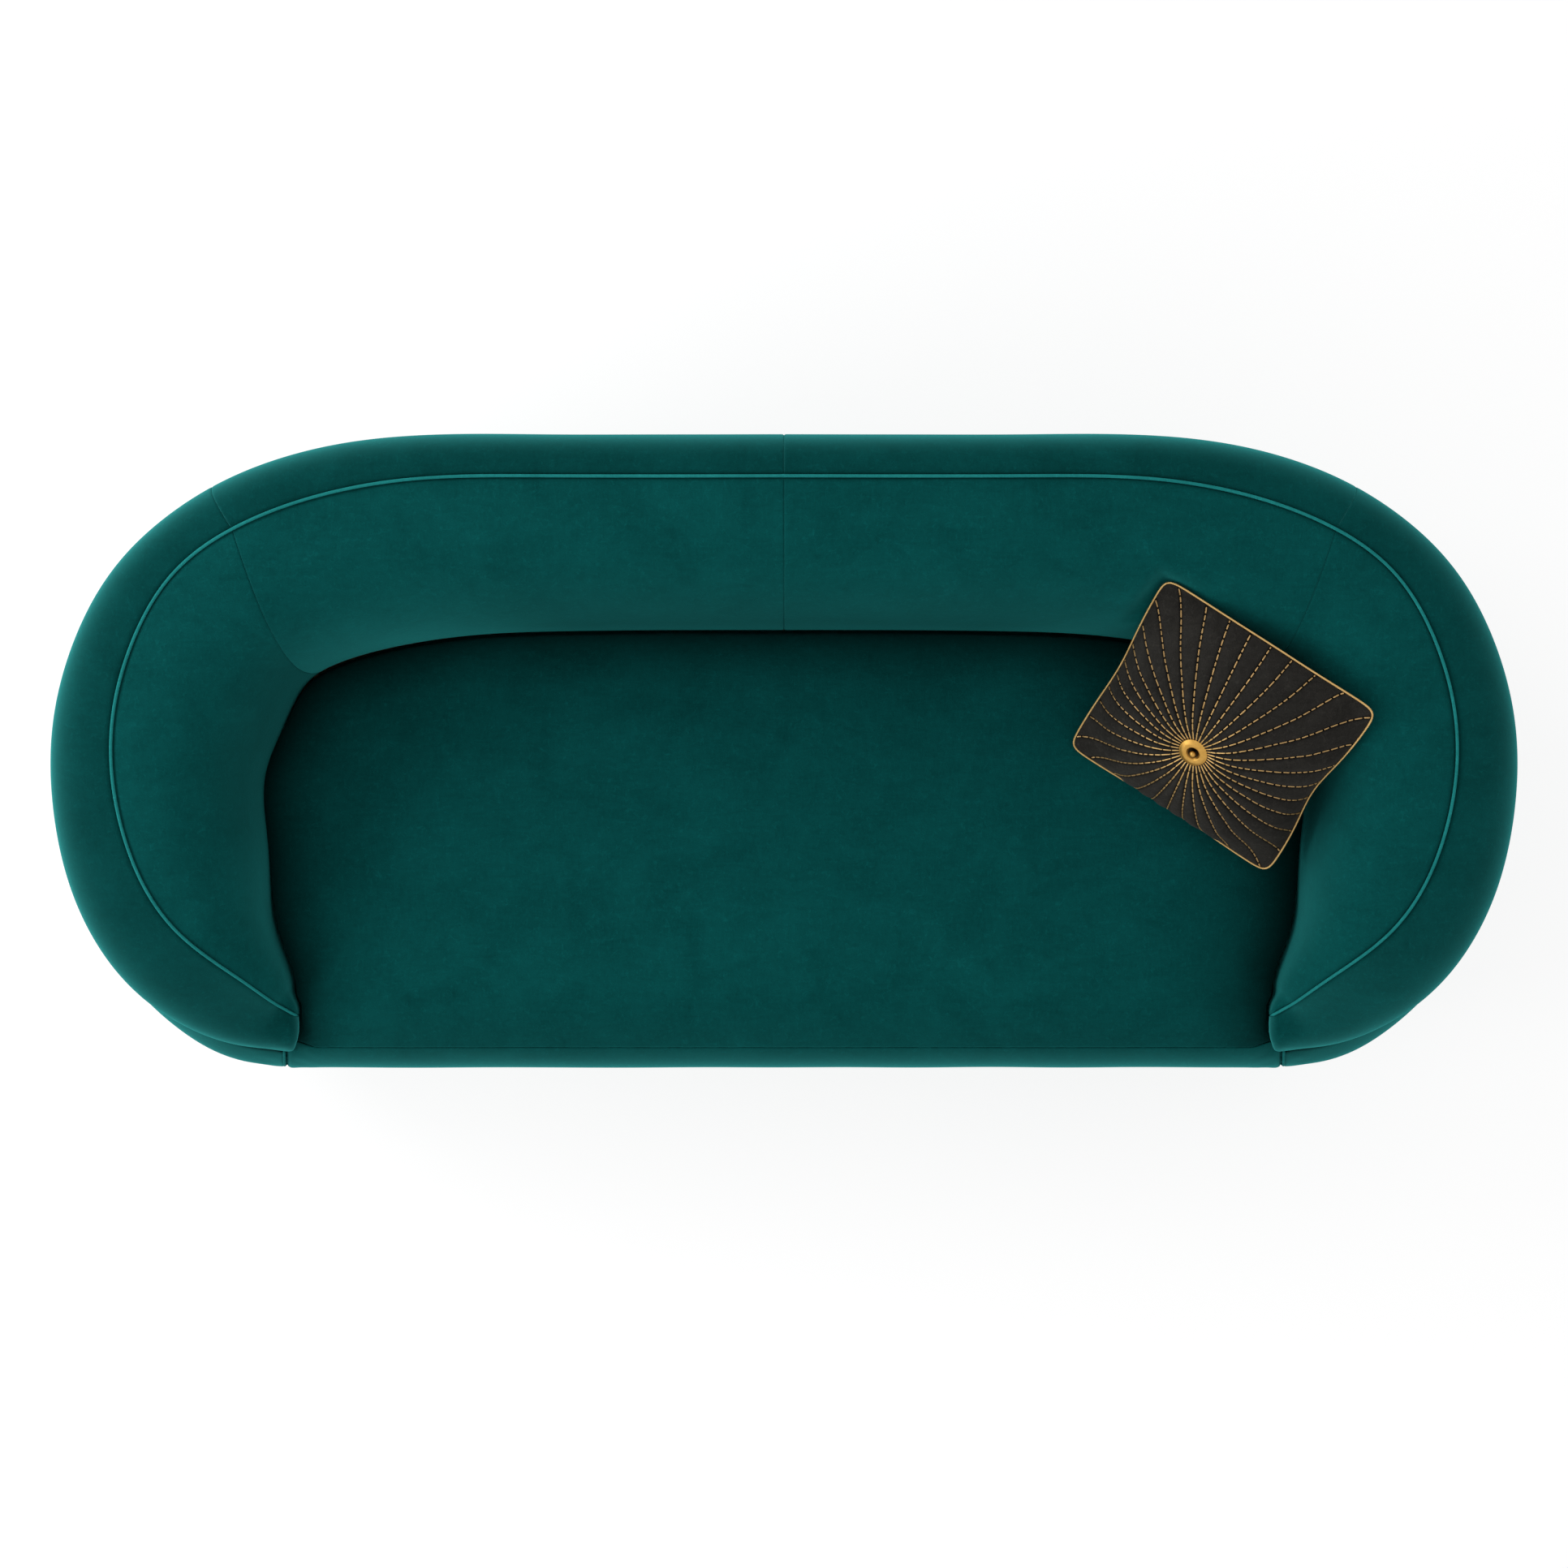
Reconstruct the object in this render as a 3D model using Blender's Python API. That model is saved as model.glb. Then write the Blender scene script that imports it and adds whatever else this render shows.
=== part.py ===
"""A curved three-seat sofa in velvet, with one tufted scatter cushion in its rear right corner.

Metres, +Z up, -Y towards the front. Left and right are as seen from the front, so +X is to the right.
The origin is on the floor, under the middle of the sofa. The wall that is back and arms in one is
described for the right half, by cross-sections at stations that run from the middle of the back to
the nose of the arm, and every piece of the wall is a loft between those sections.
"""

import math
from types import SimpleNamespace

import bmesh
import bpy
import numpy as np
from mathutils import Vector
from mathutils.bvhtree import BVHTree

for old in list(bpy.data.objects):
    bpy.data.objects.remove(old, do_unlink=True)

# Overall size: the plan outline's half sides, and the heights of its main lines over the floor
HALF_WIDTH = 1.200
HALF_DEPTH = 0.532
BACK_HEIGHT = 0.775
NOSE_HEIGHT = 0.445
SEAT_HEIGHT = 0.430
DECK_HEIGHT = 0.288
PANEL_BOTTOM = 0.070

# Clearances between pieces that touch on the real sofa
GAP = 0.0003
SOFT_GAP = 0.0010
RIB_GAP = 0.0032
BOARD_GAP = 0.0020

# The wall: plan runs of its two upholstered slopes at the back, and the drop of its outer seam
BAND_RUN = 0.0856
SLOPE_RUN = 0.222
SEAM_DROP = 0.120
SEAM_INSET = 0.030
PANEL_TUCK = 0.036
NOSE_SETBACK = 0.353
CREST_CROWN = 0.006
CREST_FULLNESS = 0.78
SLOPE_FULLNESS = 2.0

# Upholstery over the boards and rails
BOARD_COVER = 0.026
BOARD_FOOT_INSET = 0.045
PANEL_WRAP = 0.0055
CREST_PADDING = 0.041
PIPING_RADIUS = 0.0034
GROOVE_WIDTH = 0.0122
WELT_SLOT = 0.0039
WELT_SINK = 0.0025
WELT_START_SHARE = 0.4

# Timber and plywood
PLY = 0.018
OUTER_BOARD = 0.004
INNER_BOARD = 0.005
RIB = 0.018
RAIL_THICKNESS = 0.030
RAIL_SET_BACK = 0.0545
STRETCHER_WIDTH = 0.028
STRETCHER_DEPTH = 0.060
STRETCHER_SPREAD = 0.420
RING_LAP = 0.060
LEDGE = 0.020
BACK_RAIL_HALF_LENGTH = 0.600
STRAP_WIDTH = 0.060
STRAP_THICKNESS = 0.002
STRAP_WEAVE = 0.001
STRAP_SPACING = 0.150
STRAP_MARGIN = 0.012
DUST_COVER = 0.0015

# Plinth and glides
PLINTH_INSET = 0.060
PLINTH_BOARD = 0.022
GLIDE_HEIGHT = 0.008
GLIDE_RADIUS = 0.010
GLIDE_SIDES = 16

# Seat pad and front border
SEAT_GAP = 0.004
SEAT_CROWN = 0.023
SEAT_SEAM_SETBACK = 0.038
SEAT_SEAM_DROP = 0.020
BORDER_DROP = 0.100

# Scatter cushion
CUSHION_HALF_SIDE = 0.191
CUSHION_THICKNESS = 0.175
CUSHION_CORNER_SHARE = 0.90
CUSHION_DRAW_IN = 0.008
CUSHION_TILT = math.radians(44)
CUSHION_HEADING = math.radians(-33)
CUSHION_ROLL = math.radians(3)
CUSHION_SKEW = math.radians(8)
CUSHION_PIPING = 0.0028
RAYS = 40
RAY_CHANNEL = 0.0025
TUFT_DEPTH = 0.016
TUFT_SPREAD = 0.038
TUFT_ACROSS = -0.018
TUFT_ALONG = -0.010
DISC_RADIUS = 0.023
DISC_THICKNESS = 0.0025
DISC_DISH = 0.004
BUTTON_RADIUS = 0.0055
LATHE_STEPS = 20
BUTTON_STEPS = 6
CUSHION_FULLNESS = 0.42
STAND_OFF_BACK = 0.168
STAND_OFF_ARM = 0.185

# Stations of the right half, from the middle of the back to the nose. Outline points are shares of
# the half width and of the depth behind or before the middle, and runs are shares of the runs above
OUTLINE_SHARES = (
    (0.0, 0.994), (0.325, 0.994), (0.520, 0.985), (0.763, 0.836), (0.873, 0.654), (0.951, 0.397),
    (0.993, 0.046), (0.991, -0.295), (0.945, -0.649), (0.868, -0.878), (0.784, -0.981), (0.706, -1.0),
)
BAND_RUN_SHARES = (
    (0.0, -1.0), (-0.06, -1.0), (-0.25, -1.03), (-0.60, -0.99), (-0.95, -0.76), (-1.24, -0.57),
    (-1.45, -0.12), (-1.59, 0.24), (-1.74, 0.74), (-1.68, 1.18), (-0.95, 1.34), (0.0, 1.30),
)
SLOPE_RUN_SHARES = (
    (0.0, -1.0), (0.0, -1.01), (-0.07, -1.04), (-0.31, -0.95), (-0.59, -0.79), (-0.77, -0.52),
    (-0.80, -0.22), (-0.75, 0.04), (-0.45, 0.27), (-0.13, 0.24), (-0.03, 0.11), (0.0, 0.070),
)
CREST_RISE_SHARES = (1.0, 1.0, 1.0, 0.988, 0.955, 0.909, 0.833, 0.712, 0.521, 0.288, 0.100, 0.0)
SEAM_DROP_SHARES = (1.0, 1.0, 1.0, 1.0, 0.95, 0.90, 0.85, 0.88, 0.95, 0.92, 0.66, 0.38)
SEAM_INSET_SHARES = (0.27, 0.27, 0.27, 0.27, 0.27, 0.27, 0.27, 0.30, 0.45, 0.75, 1.0, 1.1)
WIDEST_SHARE = 0.79
RAIL_LAP_SHARE = 0.15
PAD_FOOT_SHARE = 0.18
CORNER_SEAM = 3
ARM_MIDDLE = 6
RIB_STATIONS = (1.25, 2.83, 5.25, 7.25, 8.75)
GLIDE_STATIONS = (("back", 1.6), ("side", 6.5), ("front", 10.5))
LAST_STATION = len(OUTLINE_SHARES) - 1
STEPS_PER_STATION = (1, 2, 3, 2, 2, 2, 2, 2, 2, 2, 2)
SEAM_GAP_SHARE = 0.0015
SEAT_FRONT_SHARES = (1.0, 0.66, 0.33, 0.0, -0.33, -0.66, -1.0)
SEAT_PROFILE_SHARES = (
    (1.0, -0.87), (0.994, -0.2), (0.978, 0.2), (0.93, 0.5), (0.82, 0.75), (0.6, 0.93), (0.3, 1.0),
)
CUSHION_RING_SHARES = (0.12, 0.2, 0.32, 0.46, 0.6, 0.74, 0.86, 0.95)
CUSHION_BACK_SHARES = (0.2, 0.46, 0.74, 0.93)
RIM_STAND_SHARE = 1.4
DISC_PROFILE_SHARES = (
    (0.9, 0.0, 0.0), (1.0, 0.5, 0.0), (0.85, 1.0, 0.6), (0.6, 1.0, 1.0), (0.35, 1.0, 0.5), (0.2, 1.0, 0.0),
)

VELVET = (0.006, 0.060, 0.058, 1.0)
VELVET_DARK = (0.004, 0.045, 0.044, 1.0)
CHARCOAL = (0.018, 0.018, 0.019, 1.0)
GOLD = (0.55, 0.33, 0.10, 1.0)
BIRCH = (0.62, 0.46, 0.28, 1.0)
PINE = (0.66, 0.50, 0.30, 1.0)
STAIN = (0.030, 0.022, 0.018, 1.0)
JUTE = (0.35, 0.26, 0.16, 1.0)
BLACK_CLOTH = (0.020, 0.020, 0.020, 1.0)
NYLON = (0.030, 0.030, 0.030, 1.0)


def material(name, colour, roughness, metallic=0.0):
    made = bpy.data.materials.new(name)
    made.use_nodes = True
    shader = made.node_tree.nodes["Principled BSDF"]
    shader.inputs["Base Color"].default_value = colour
    shader.inputs["Roughness"].default_value = roughness
    shader.inputs["Metallic"].default_value = metallic
    made.diffuse_color = colour
    return made


VELVET_COVER = material("teal_velvet", VELVET, 0.85)
VELVET_WELT = material("teal_welt", VELVET_DARK, 0.8)
CUSHION_COVER = material("charcoal_velvet", CHARCOAL, 0.9)
GOLD_TRIM = material("gold_trim", GOLD, 0.35, 1.0)
PLYWOOD = material("birch_plywood", BIRCH, 0.6)
TIMBER = material("pine", PINE, 0.65)
STAINED = material("stained_plinth", STAIN, 0.5)
WEBBING = material("jute_webbing", JUTE, 0.9)
DUST_CLOTH = material("dust_cloth", BLACK_CLOTH, 0.95)
GLIDE_NYLON = material("glide_nylon", NYLON, 0.4)


def finish(name, bm, look, smooth=False):
    """Closes the bmesh into a named object with outward faces."""
    bmesh.ops.recalc_face_normals(bm, faces=bm.faces[:])
    if bm.calc_volume(signed=True) < 0:
        bmesh.ops.reverse_faces(bm, faces=bm.faces[:])
    mesh = bpy.data.meshes.new(name)
    bm.to_mesh(mesh)
    bm.free()
    mesh.materials.append(look)
    if smooth:
        mesh.shade_smooth()
        mesh.set_sharp_from_angle(angle=math.radians(40))
    obj = bpy.data.objects.new(name, mesh)
    bpy.context.scene.collection.objects.link(obj)
    return obj


NOSE_HALF_WIDTH = HALF_WIDTH - NOSE_SETBACK
OUTLINE = [(across * HALF_WIDTH, along * HALF_DEPTH) for across, along in OUTLINE_SHARES]
OUTLINE[-1] = (NOSE_HALF_WIDTH, -HALF_DEPTH)


def station_paces():
    """Distances between stations in plan: the mean of those along the outline and along the piping."""
    outline = np.array(OUTLINE)
    piping = outline + np.multiply(BAND_RUN_SHARES, BAND_RUN)
    both = [np.linalg.norm(np.diff(line, axis=0), axis=1) for line in (outline, piping)]
    return (both[0] + both[1]) / 2


PACES = station_paces()


def spline(rows, at):
    """The natural cubic spline through rows, one for each station, read at one station number."""
    rows = np.asarray(rows, float)
    count = len(rows)
    system = np.zeros((count, count))
    rise = np.zeros_like(rows)
    system[0, :2] = 2, 1
    system[-1, -2:] = 1, 2
    rise[0] = 3 * (rows[1] - rows[0]) / PACES[0]
    rise[-1] = 3 * (rows[-1] - rows[-2]) / PACES[-1]
    for i in range(1, count - 1):
        before, after = PACES[i - 1], PACES[i]
        system[i, i - 1 : i + 2] = after, 2 * (before + after), before
        climb = (rows[i] - rows[i - 1]) / before * after + (rows[i + 1] - rows[i]) / after * before
        rise[i] = 3 * climb
    slopes = np.linalg.solve(system, rise)
    low = min(int(at), count - 2)
    f = at - low
    return (
        rows[low] * (2 * f**3 - 3 * f**2 + 1)
        + rows[low + 1] * (3 * f**2 - 2 * f**3)
        + PACES[low] * slopes[low] * (f**3 - 2 * f**2 + f)
        + PACES[low] * slopes[low + 1] * (f**3 - f**2)
    )


def station(at):
    """The wall's sizes at one place between the middle of the back, 0, and the nose."""
    band = Vector((*spline(np.multiply(BAND_RUN_SHARES, BAND_RUN), at), 0))
    slope = Vector((*spline(np.multiply(SLOPE_RUN_SHARES, SLOPE_RUN), at), 0))
    crest = NOSE_HEIGHT + float(spline(CREST_RISE_SHARES, at)) * (BACK_HEIGHT - NOSE_HEIGHT)
    seam = crest - float(spline(SEAM_DROP_SHARES, at)) * SEAM_DROP
    seam_inset = float(spline(SEAM_INSET_SHARES, at)) * SEAM_INSET
    return SimpleNamespace(
        outline=Vector((*spline(OUTLINE, at), 0)),
        band_way=band.normalized(),
        slope_way=slope.normalized(),
        band=band.length,
        wall=band.length + slope.length,
        crest=crest,
        seam=seam,
        seam_inset=seam_inset,
        rail_top=crest - CREST_PADDING,
        rail_bottom=crest - CREST_PADDING - PLY,
        rail_outer=seam_inset + BOARD_COVER,
        rail_inner=band.length + RAIL_LAP_SHARE * slope.length,
        foot=PAD_FOOT_SHARE * (band.length + slope.length),
    )


def place(at, inset, height, side):
    """A point of the wall, its inset measured from the outline, over the band and down the slope."""
    if inset <= at.band:
        point = at.outline + at.band_way * inset
    else:
        point = at.outline + at.band_way * at.band + at.slope_way * (inset - at.band)
    return Vector((side * max(point.x, GAP / 2), point.y, height))


def steps_between(first, last):
    """The stations at which each loft of the wall has a section, so that neighbours run parallel."""
    every = [0.0]
    for low, steps in enumerate(STEPS_PER_STATION):
        every += [low + (step + 1) / steps for step in range(steps)]
    inner = [at for at in every if first + 2 * SEAM_GAP_SHARE < at < last - 2 * SEAM_GAP_SHARE]
    return [first, *inner, last]


def loft(name, section, stations, side, look, smooth=False):
    """A closed solid through the sections, each a list of inset and height pairs.

    Every four-sided patch is split from its low corner at the first station to its high corner at the
    next, so that two pieces that face each other have the same creases.
    """
    bm = bmesh.new()
    rings = []
    for number in stations:
        at = station(number)
        corners = section(at)
        rings.append([bm.verts.new(place(at, inset, height, side)) for inset, height in corners])
    for ring, following in zip(rings, rings[1:]):
        for i in range(len(ring)):
            j = (i + 1) % len(ring)
            low, high = sorted((i, j), key=lambda corner: corners[corner][0] + 2 * corners[corner][1])
            bm.faces.new((ring[low], ring[high], following[high]))
            bm.faces.new((ring[low], following[high], following[low]))
    bm.faces.new(rings[0])
    bm.faces.new(rings[-1])
    return finish(name, bm, look, smooth)


def box(name, low, high, look):
    bm = bmesh.new()
    bmesh.ops.create_cube(bm, size=1)
    size = Vector(high) - Vector(low)
    bmesh.ops.scale(bm, vec=size, verts=bm.verts)
    bmesh.ops.translate(bm, vec=(Vector(low) + Vector(high)) / 2, verts=bm.verts)
    return finish(name, bm, look)


def tube(name, points, radius, look, closed=False, resolution=1):
    """A round welt through the points, as a curve with a bevel."""
    curve = bpy.data.curves.new(name, "CURVE")
    curve.dimensions = "3D"
    curve.bevel_depth = radius
    curve.bevel_resolution = resolution
    curve.use_fill_caps = not closed
    line = curve.splines.new("POLY")
    line.points.add(len(points) - 1)
    for spot, point in zip(line.points, points):
        spot.co = (*point, 1)
    line.use_cyclic_u = closed
    curve.materials.append(look)
    obj = bpy.data.objects.new(name, curve)
    bpy.context.scene.collection.objects.link(obj)
    return obj


# Lines of the cross-section that more than one piece follows


def board_inset(at, height):
    """The outer face of the outer board: a straight line from the base board to the crest rail."""
    rise = (height - PANEL_BOTTOM - PLY) / (at.rail_bottom - PANEL_BOTTOM - PLY)
    return BOARD_FOOT_INSET + rise * (at.rail_outer - BOARD_FOOT_INSET)


def slope_board_inset(at, height):
    """The seat-side face of the inner board, from the deck ring to the crest rail."""
    rise = (height - DECK_HEIGHT) / (at.rail_bottom - DECK_HEIGHT)
    foot = at.wall - at.foot
    return foot + rise * (at.rail_inner - foot)


def inner_surface(at, share):
    """The plump slope, upright at the seat line, 0, and almost level at the piping, 1."""
    turn = share * math.pi / 2
    across = 1 - math.cos(turn) ** (2 / SLOPE_FULLNESS)
    climb = math.sin(turn) ** (2 / SLOPE_FULLNESS)
    return at.wall - across * (at.wall - at.band), SEAT_HEIGHT + climb * (at.crest - SEAT_HEIGHT)


def crest_surface(at, share):
    """The crest band, from the piping at 0 over the top to the outer seam at 1."""
    turn = share * math.pi / 2
    across = math.sin(turn) ** CREST_FULLNESS
    drop = math.cos(turn) ** CREST_FULLNESS
    crown = CREST_CROWN * math.sin(2 * turn)
    inset = at.band - across * (at.band - at.seam_inset)
    return inset, at.seam + drop * (at.crest - at.seam) + crown


def outer_surface(at, share):
    """The outer panel, from its seam at 0 to its bottom edge at 1."""
    height = at.seam + share * (PANEL_BOTTOM - at.seam)
    widest = PANEL_BOTTOM + WIDEST_SHARE * (at.seam - PANEL_BOTTOM)
    if height > widest:
        return at.seam_inset * ((height - widest) / (at.seam - widest)) ** 2, height
    return PANEL_TUCK * ((widest - height) / (widest - PANEL_BOTTOM)) ** 2, height


SLOPE_POINT_SHARES = (0.0, 0.2, 0.38, 0.54, 0.7, 0.84)
CREST_POINT_SHARES = (0.22, 0.4, 0.58, 0.76, 0.9, 1.0)
PANEL_POINT_SHARES = (0.0, 0.10, 0.21, 0.4, 0.6, 0.8, 1.0)
BORDER_POINT_SHARES = (0.35, 0.65, 0.9)
LOWER_POINT_SHARES = (0.2, 0.45, 0.7, 1.0)


def slope_pad_section(at):
    face = [inner_surface(at, share) for share in SLOPE_POINT_SHARES]
    return [
        (at.wall, DECK_HEIGHT + 2 * GAP),
        *face,
        (min(at.band + GROOVE_WIDTH, at.wall), at.crest - GAP),
        (at.band + SOFT_GAP / 2, at.crest - GROOVE_WIDTH),
        (at.band + SOFT_GAP / 2, at.rail_top + SOFT_GAP),
        (at.rail_inner + SOFT_GAP, at.rail_top + SOFT_GAP),
        (at.rail_inner + SOFT_GAP, at.rail_bottom),
        (at.wall - at.foot + SOFT_GAP, DECK_HEIGHT + 2 * GAP),
    ]


def crest_pad_section(at):
    face = [crest_surface(at, share) for share in CREST_POINT_SHARES]
    return [
        (at.band - SOFT_GAP / 2, at.crest - GROOVE_WIDTH),
        (at.band - GROOVE_WIDTH, at.crest),
        *face,
        (board_inset(at, min(at.seam, at.rail_bottom)) - SOFT_GAP, at.seam),
        (at.rail_outer - SOFT_GAP, max(at.rail_bottom, (at.seam + at.rail_top) / 2)),
        (at.rail_outer - SOFT_GAP, at.rail_top + SOFT_GAP),
        (at.band - SOFT_GAP / 2, at.rail_top + SOFT_GAP),
    ]


def outer_panel_section(at):
    top = at.seam - SOFT_GAP
    face = [outer_surface(at, share) for share in PANEL_POINT_SHARES]
    face[0] = (at.seam_inset, top)
    base_edge = BOARD_FOOT_INSET - PANEL_WRAP
    board_foot = PANEL_BOTTOM + PLY
    return [
        *face,
        (base_edge, PANEL_BOTTOM),
        (base_edge, board_foot),
        (BOARD_FOOT_INSET - SOFT_GAP, board_foot + SOFT_GAP),
        (board_inset(at, min(top, at.rail_bottom)) - SOFT_GAP, top),
    ]


def between(low_inset, high_inset, low, high):
    """A section with four corners."""
    return [(low_inset, low), (high_inset, low), (high_inset, high), (low_inset, high)]


def base_board_section(at):
    edge = BOARD_FOOT_INSET - PANEL_WRAP + GAP
    return between(edge, at.wall + RING_LAP, PANEL_BOTTOM, PANEL_BOTTOM + PLY)


def deck_ring_section(at):
    edge = at.wall - at.foot - INNER_BOARD
    return between(edge, at.wall + RING_LAP, DECK_HEIGHT - PLY, DECK_HEIGHT)


def crest_rail_section(at):
    return [
        (at.rail_outer, at.rail_bottom),
        (at.band, at.rail_bottom),
        (at.rail_inner, at.rail_bottom),
        (at.rail_inner, at.rail_top),
        (at.band, at.rail_top),
        (at.rail_outer, at.rail_top),
    ]


def outer_board_section(at):
    low = PANEL_BOTTOM + PLY + GAP
    high = at.rail_bottom - BOARD_GAP
    return [
        (board_inset(at, low), low),
        (board_inset(at, low) + OUTER_BOARD, low),
        (board_inset(at, high) + OUTER_BOARD, high),
        (board_inset(at, high), high),
    ]


def inner_board_section(at):
    low = DECK_HEIGHT + GAP
    high = at.rail_bottom - BOARD_GAP
    return [
        (slope_board_inset(at, low) - INNER_BOARD, low),
        (slope_board_inset(at, low), low),
        (slope_board_inset(at, high), high),
        (slope_board_inset(at, high) - INNER_BOARD, high),
    ]


def rib_section(at):
    low = PANEL_BOTTOM + PLY + GAP
    high = at.rail_bottom - RIB_GAP
    ledge = DECK_HEIGHT - PLY - GAP
    ring_edge = at.wall - at.foot - INNER_BOARD - GAP
    behind = at.wall - at.foot - INNER_BOARD - RIB_GAP
    return [
        (board_inset(at, low) + OUTER_BOARD + RIB_GAP, low),
        (at.wall + LEDGE, low),
        (at.wall + LEDGE, ledge),
        (min(ring_edge, behind), ledge),
        (min(ring_edge, behind), DECK_HEIGHT),
        (slope_board_inset(at, high) - INNER_BOARD - RIB_GAP, high),
        (board_inset(at, high) + OUTER_BOARD + RIB_GAP, high),
    ]


def plinth_section(at):
    inner = PLINTH_INSET + PLINTH_BOARD
    return between(PLINTH_INSET, inner, GLIDE_HEIGHT + GAP, PANEL_BOTTOM - GAP)


SIDES = (("left", -1), ("right", 1))
WHOLE = steps_between(0, LAST_STATION)
BACK = steps_between(0, CORNER_SEAM - SEAM_GAP_SHARE)
ARM = steps_between(CORNER_SEAM + SEAM_GAP_SHARE, LAST_STATION)

for side_name, side in SIDES:
    for run_name, run in (("back", BACK), ("arm", ARM)):
        loft(f"{run_name}_inside_pad_{side_name}", slope_pad_section, run, side, VELVET_COVER, True)
        loft(f"{run_name}_crest_pad_{side_name}", crest_pad_section, run, side, VELVET_COVER, True)
        loft(f"{run_name}_outer_panel_{side_name}", outer_panel_section, run, side, VELVET_COVER, True)
    loft(f"base_board_{side_name}", base_board_section, WHOLE, side, PLYWOOD)
    loft(f"deck_ring_{side_name}", deck_ring_section, WHOLE, side, PLYWOOD)
    loft(f"crest_rail_{side_name}", crest_rail_section, WHOLE, side, PLYWOOD)
    loft(f"outer_board_{side_name}", outer_board_section, WHOLE, side, PLYWOOD)
    loft(f"inner_board_{side_name}", inner_board_section, WHOLE, side, PLYWOOD)
    loft(f"plinth_{side_name}", plinth_section, WHOLE, side, STAINED)

# Ribs stand on the base board and carry the deck ring and the crest rail


def rib(name, number, side):
    """A rib as thick as its plywood, between the two sections of the wall on either side of it."""
    before = max(step for step in WHOLE if step < number)
    after = min(step for step in WHOLE if step > number)
    ends = []
    for at in (station(before), station(after)):
        ends.append([place(at, inset, height, side) for inset, height in rib_section(at)])
    run = (station(after).outline - station(before).outline).length
    share = (number - before) / (after - before)
    bm = bmesh.new()
    rings = []
    for reach in (-RIB / 2, RIB / 2):
        rings.append([bm.verts.new(a.lerp(b, share + reach / run)) for a, b in zip(*ends)])
    for i in range(len(rings[0])):
        j = (i + 1) % len(rings[0])
        bm.faces.new((rings[0][i], rings[0][j], rings[1][j], rings[1][i]))
    for ring in rings:
        bm.faces.new(ring)
    return finish(name, bm, PLYWOOD)


ribs = {}
for side_name, side in SIDES:
    for count, number in enumerate(RIB_STATIONS, 1):
        name = f"rib_{side_name}_{count}"
        ribs[name] = rib(name, number, side)

# Front rail, back rail and stretchers of the seat frame
front_rail_face = -HALF_DEPTH + RAIL_SET_BACK
front_rail_back = front_rail_face + RAIL_THICKNESS
frame_half_length = NOSE_HALF_WIDTH - GAP
box(
    "front_rail",
    (-frame_half_length, front_rail_face, PANEL_BOTTOM + GAP),
    (frame_half_length, front_rail_back, DECK_HEIGHT),
    TIMBER,
)
back_at = station(0)
back_rail_back = min(vertex.co.y for vertex in ribs["rib_right_1"].data.vertices) - RIB_GAP
back_rail_front = back_rail_back - RAIL_THICKNESS
box(
    "back_rail",
    (-BACK_RAIL_HALF_LENGTH, back_rail_front, PANEL_BOTTOM + PLY + GAP),
    (BACK_RAIL_HALF_LENGTH, back_rail_back, DECK_HEIGHT - PLY - GAP),
    TIMBER,
)
stretcher_top = DECK_HEIGHT - PLY - GAP
for side_name, side in SIDES:
    middle = side * STRETCHER_SPREAD
    box(
        f"stretcher_{side_name}",
        (middle - STRETCHER_WIDTH / 2, front_rail_back + GAP, stretcher_top - STRETCHER_DEPTH),
        (middle + STRETCHER_WIDTH / 2, back_rail_front - GAP, stretcher_top),
        TIMBER,
    )

# Plinth front and glides
plinth_front_face = -HALF_DEPTH + PLINTH_INSET
box(
    "plinth_front",
    (-frame_half_length, plinth_front_face, GLIDE_HEIGHT + GAP),
    (frame_half_length, plinth_front_face + PLINTH_BOARD, PANEL_BOTTOM - GAP),
    STAINED,
)


def glide(name, number, side):
    middle = place(station(number), PLINTH_INSET + PLINTH_BOARD / 2, GLIDE_HEIGHT / 2, side)
    bm = bmesh.new()
    bmesh.ops.create_cone(
        bm,
        cap_ends=True,
        segments=GLIDE_SIDES,
        radius1=GLIDE_RADIUS,
        radius2=GLIDE_RADIUS,
        depth=GLIDE_HEIGHT,
    )
    bmesh.ops.translate(bm, vec=middle, verts=bm.verts)
    finish(name, bm, GLIDE_NYLON)


for side_name, side in SIDES:
    for spot, number in GLIDE_STATIONS:
        glide(f"glide_{spot}_{side_name}", number, side)


def flat_sheet(name, points, low, thickness, look):
    """A sheet cut to a plan outline."""
    bm = bmesh.new()
    face = bm.faces.new([bm.verts.new((x, y, low)) for x, y in points])
    grown = bmesh.ops.extrude_face_region(bm, geom=[face])
    raised = [item for item in grown["geom"] if isinstance(item, bmesh.types.BMVert)]
    bmesh.ops.translate(bm, vec=(0, 0, thickness), verts=raised)
    return finish(name, bm, look)


def wall_line(inset, stations, inward=0.0):
    """Plan points of both halves at an inset, from the left nose round the back to the right."""
    line = []
    for number in stations:
        at = station(number)
        spot = place(at, inset(at), 0, 1)
        line.append(Vector((spot.x if number else 0, spot.y)))
    right = []
    for before, spot, after in zip([line[0], *line], line, [*line[1:], line[-1]]):
        way = (after - before).normalized()
        right.append((spot.x + inward * way.y if spot.x else 0, spot.y - inward * way.x))
    left = [(-x, y) for x, y in reversed(right[1:])]
    return left + right


# Dust cover under the frame, inside the plinth
cover_line = wall_line(lambda at: PLINTH_INSET + PLINTH_BOARD + GAP, WHOLE)
cover_front = plinth_front_face + PLINTH_BOARD + GAP
cover_line = [(x, max(y, cover_front)) for x, y in cover_line]
flat_sheet("dust_cover", cover_line, PANEL_BOTTOM - GAP - DUST_COVER, DUST_COVER, DUST_CLOTH)

# Seat webbing: long straps over cross straps, joined where they cross
deck_line = wall_line(lambda at: at.wall + STRAP_MARGIN, WHOLE)


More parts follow.
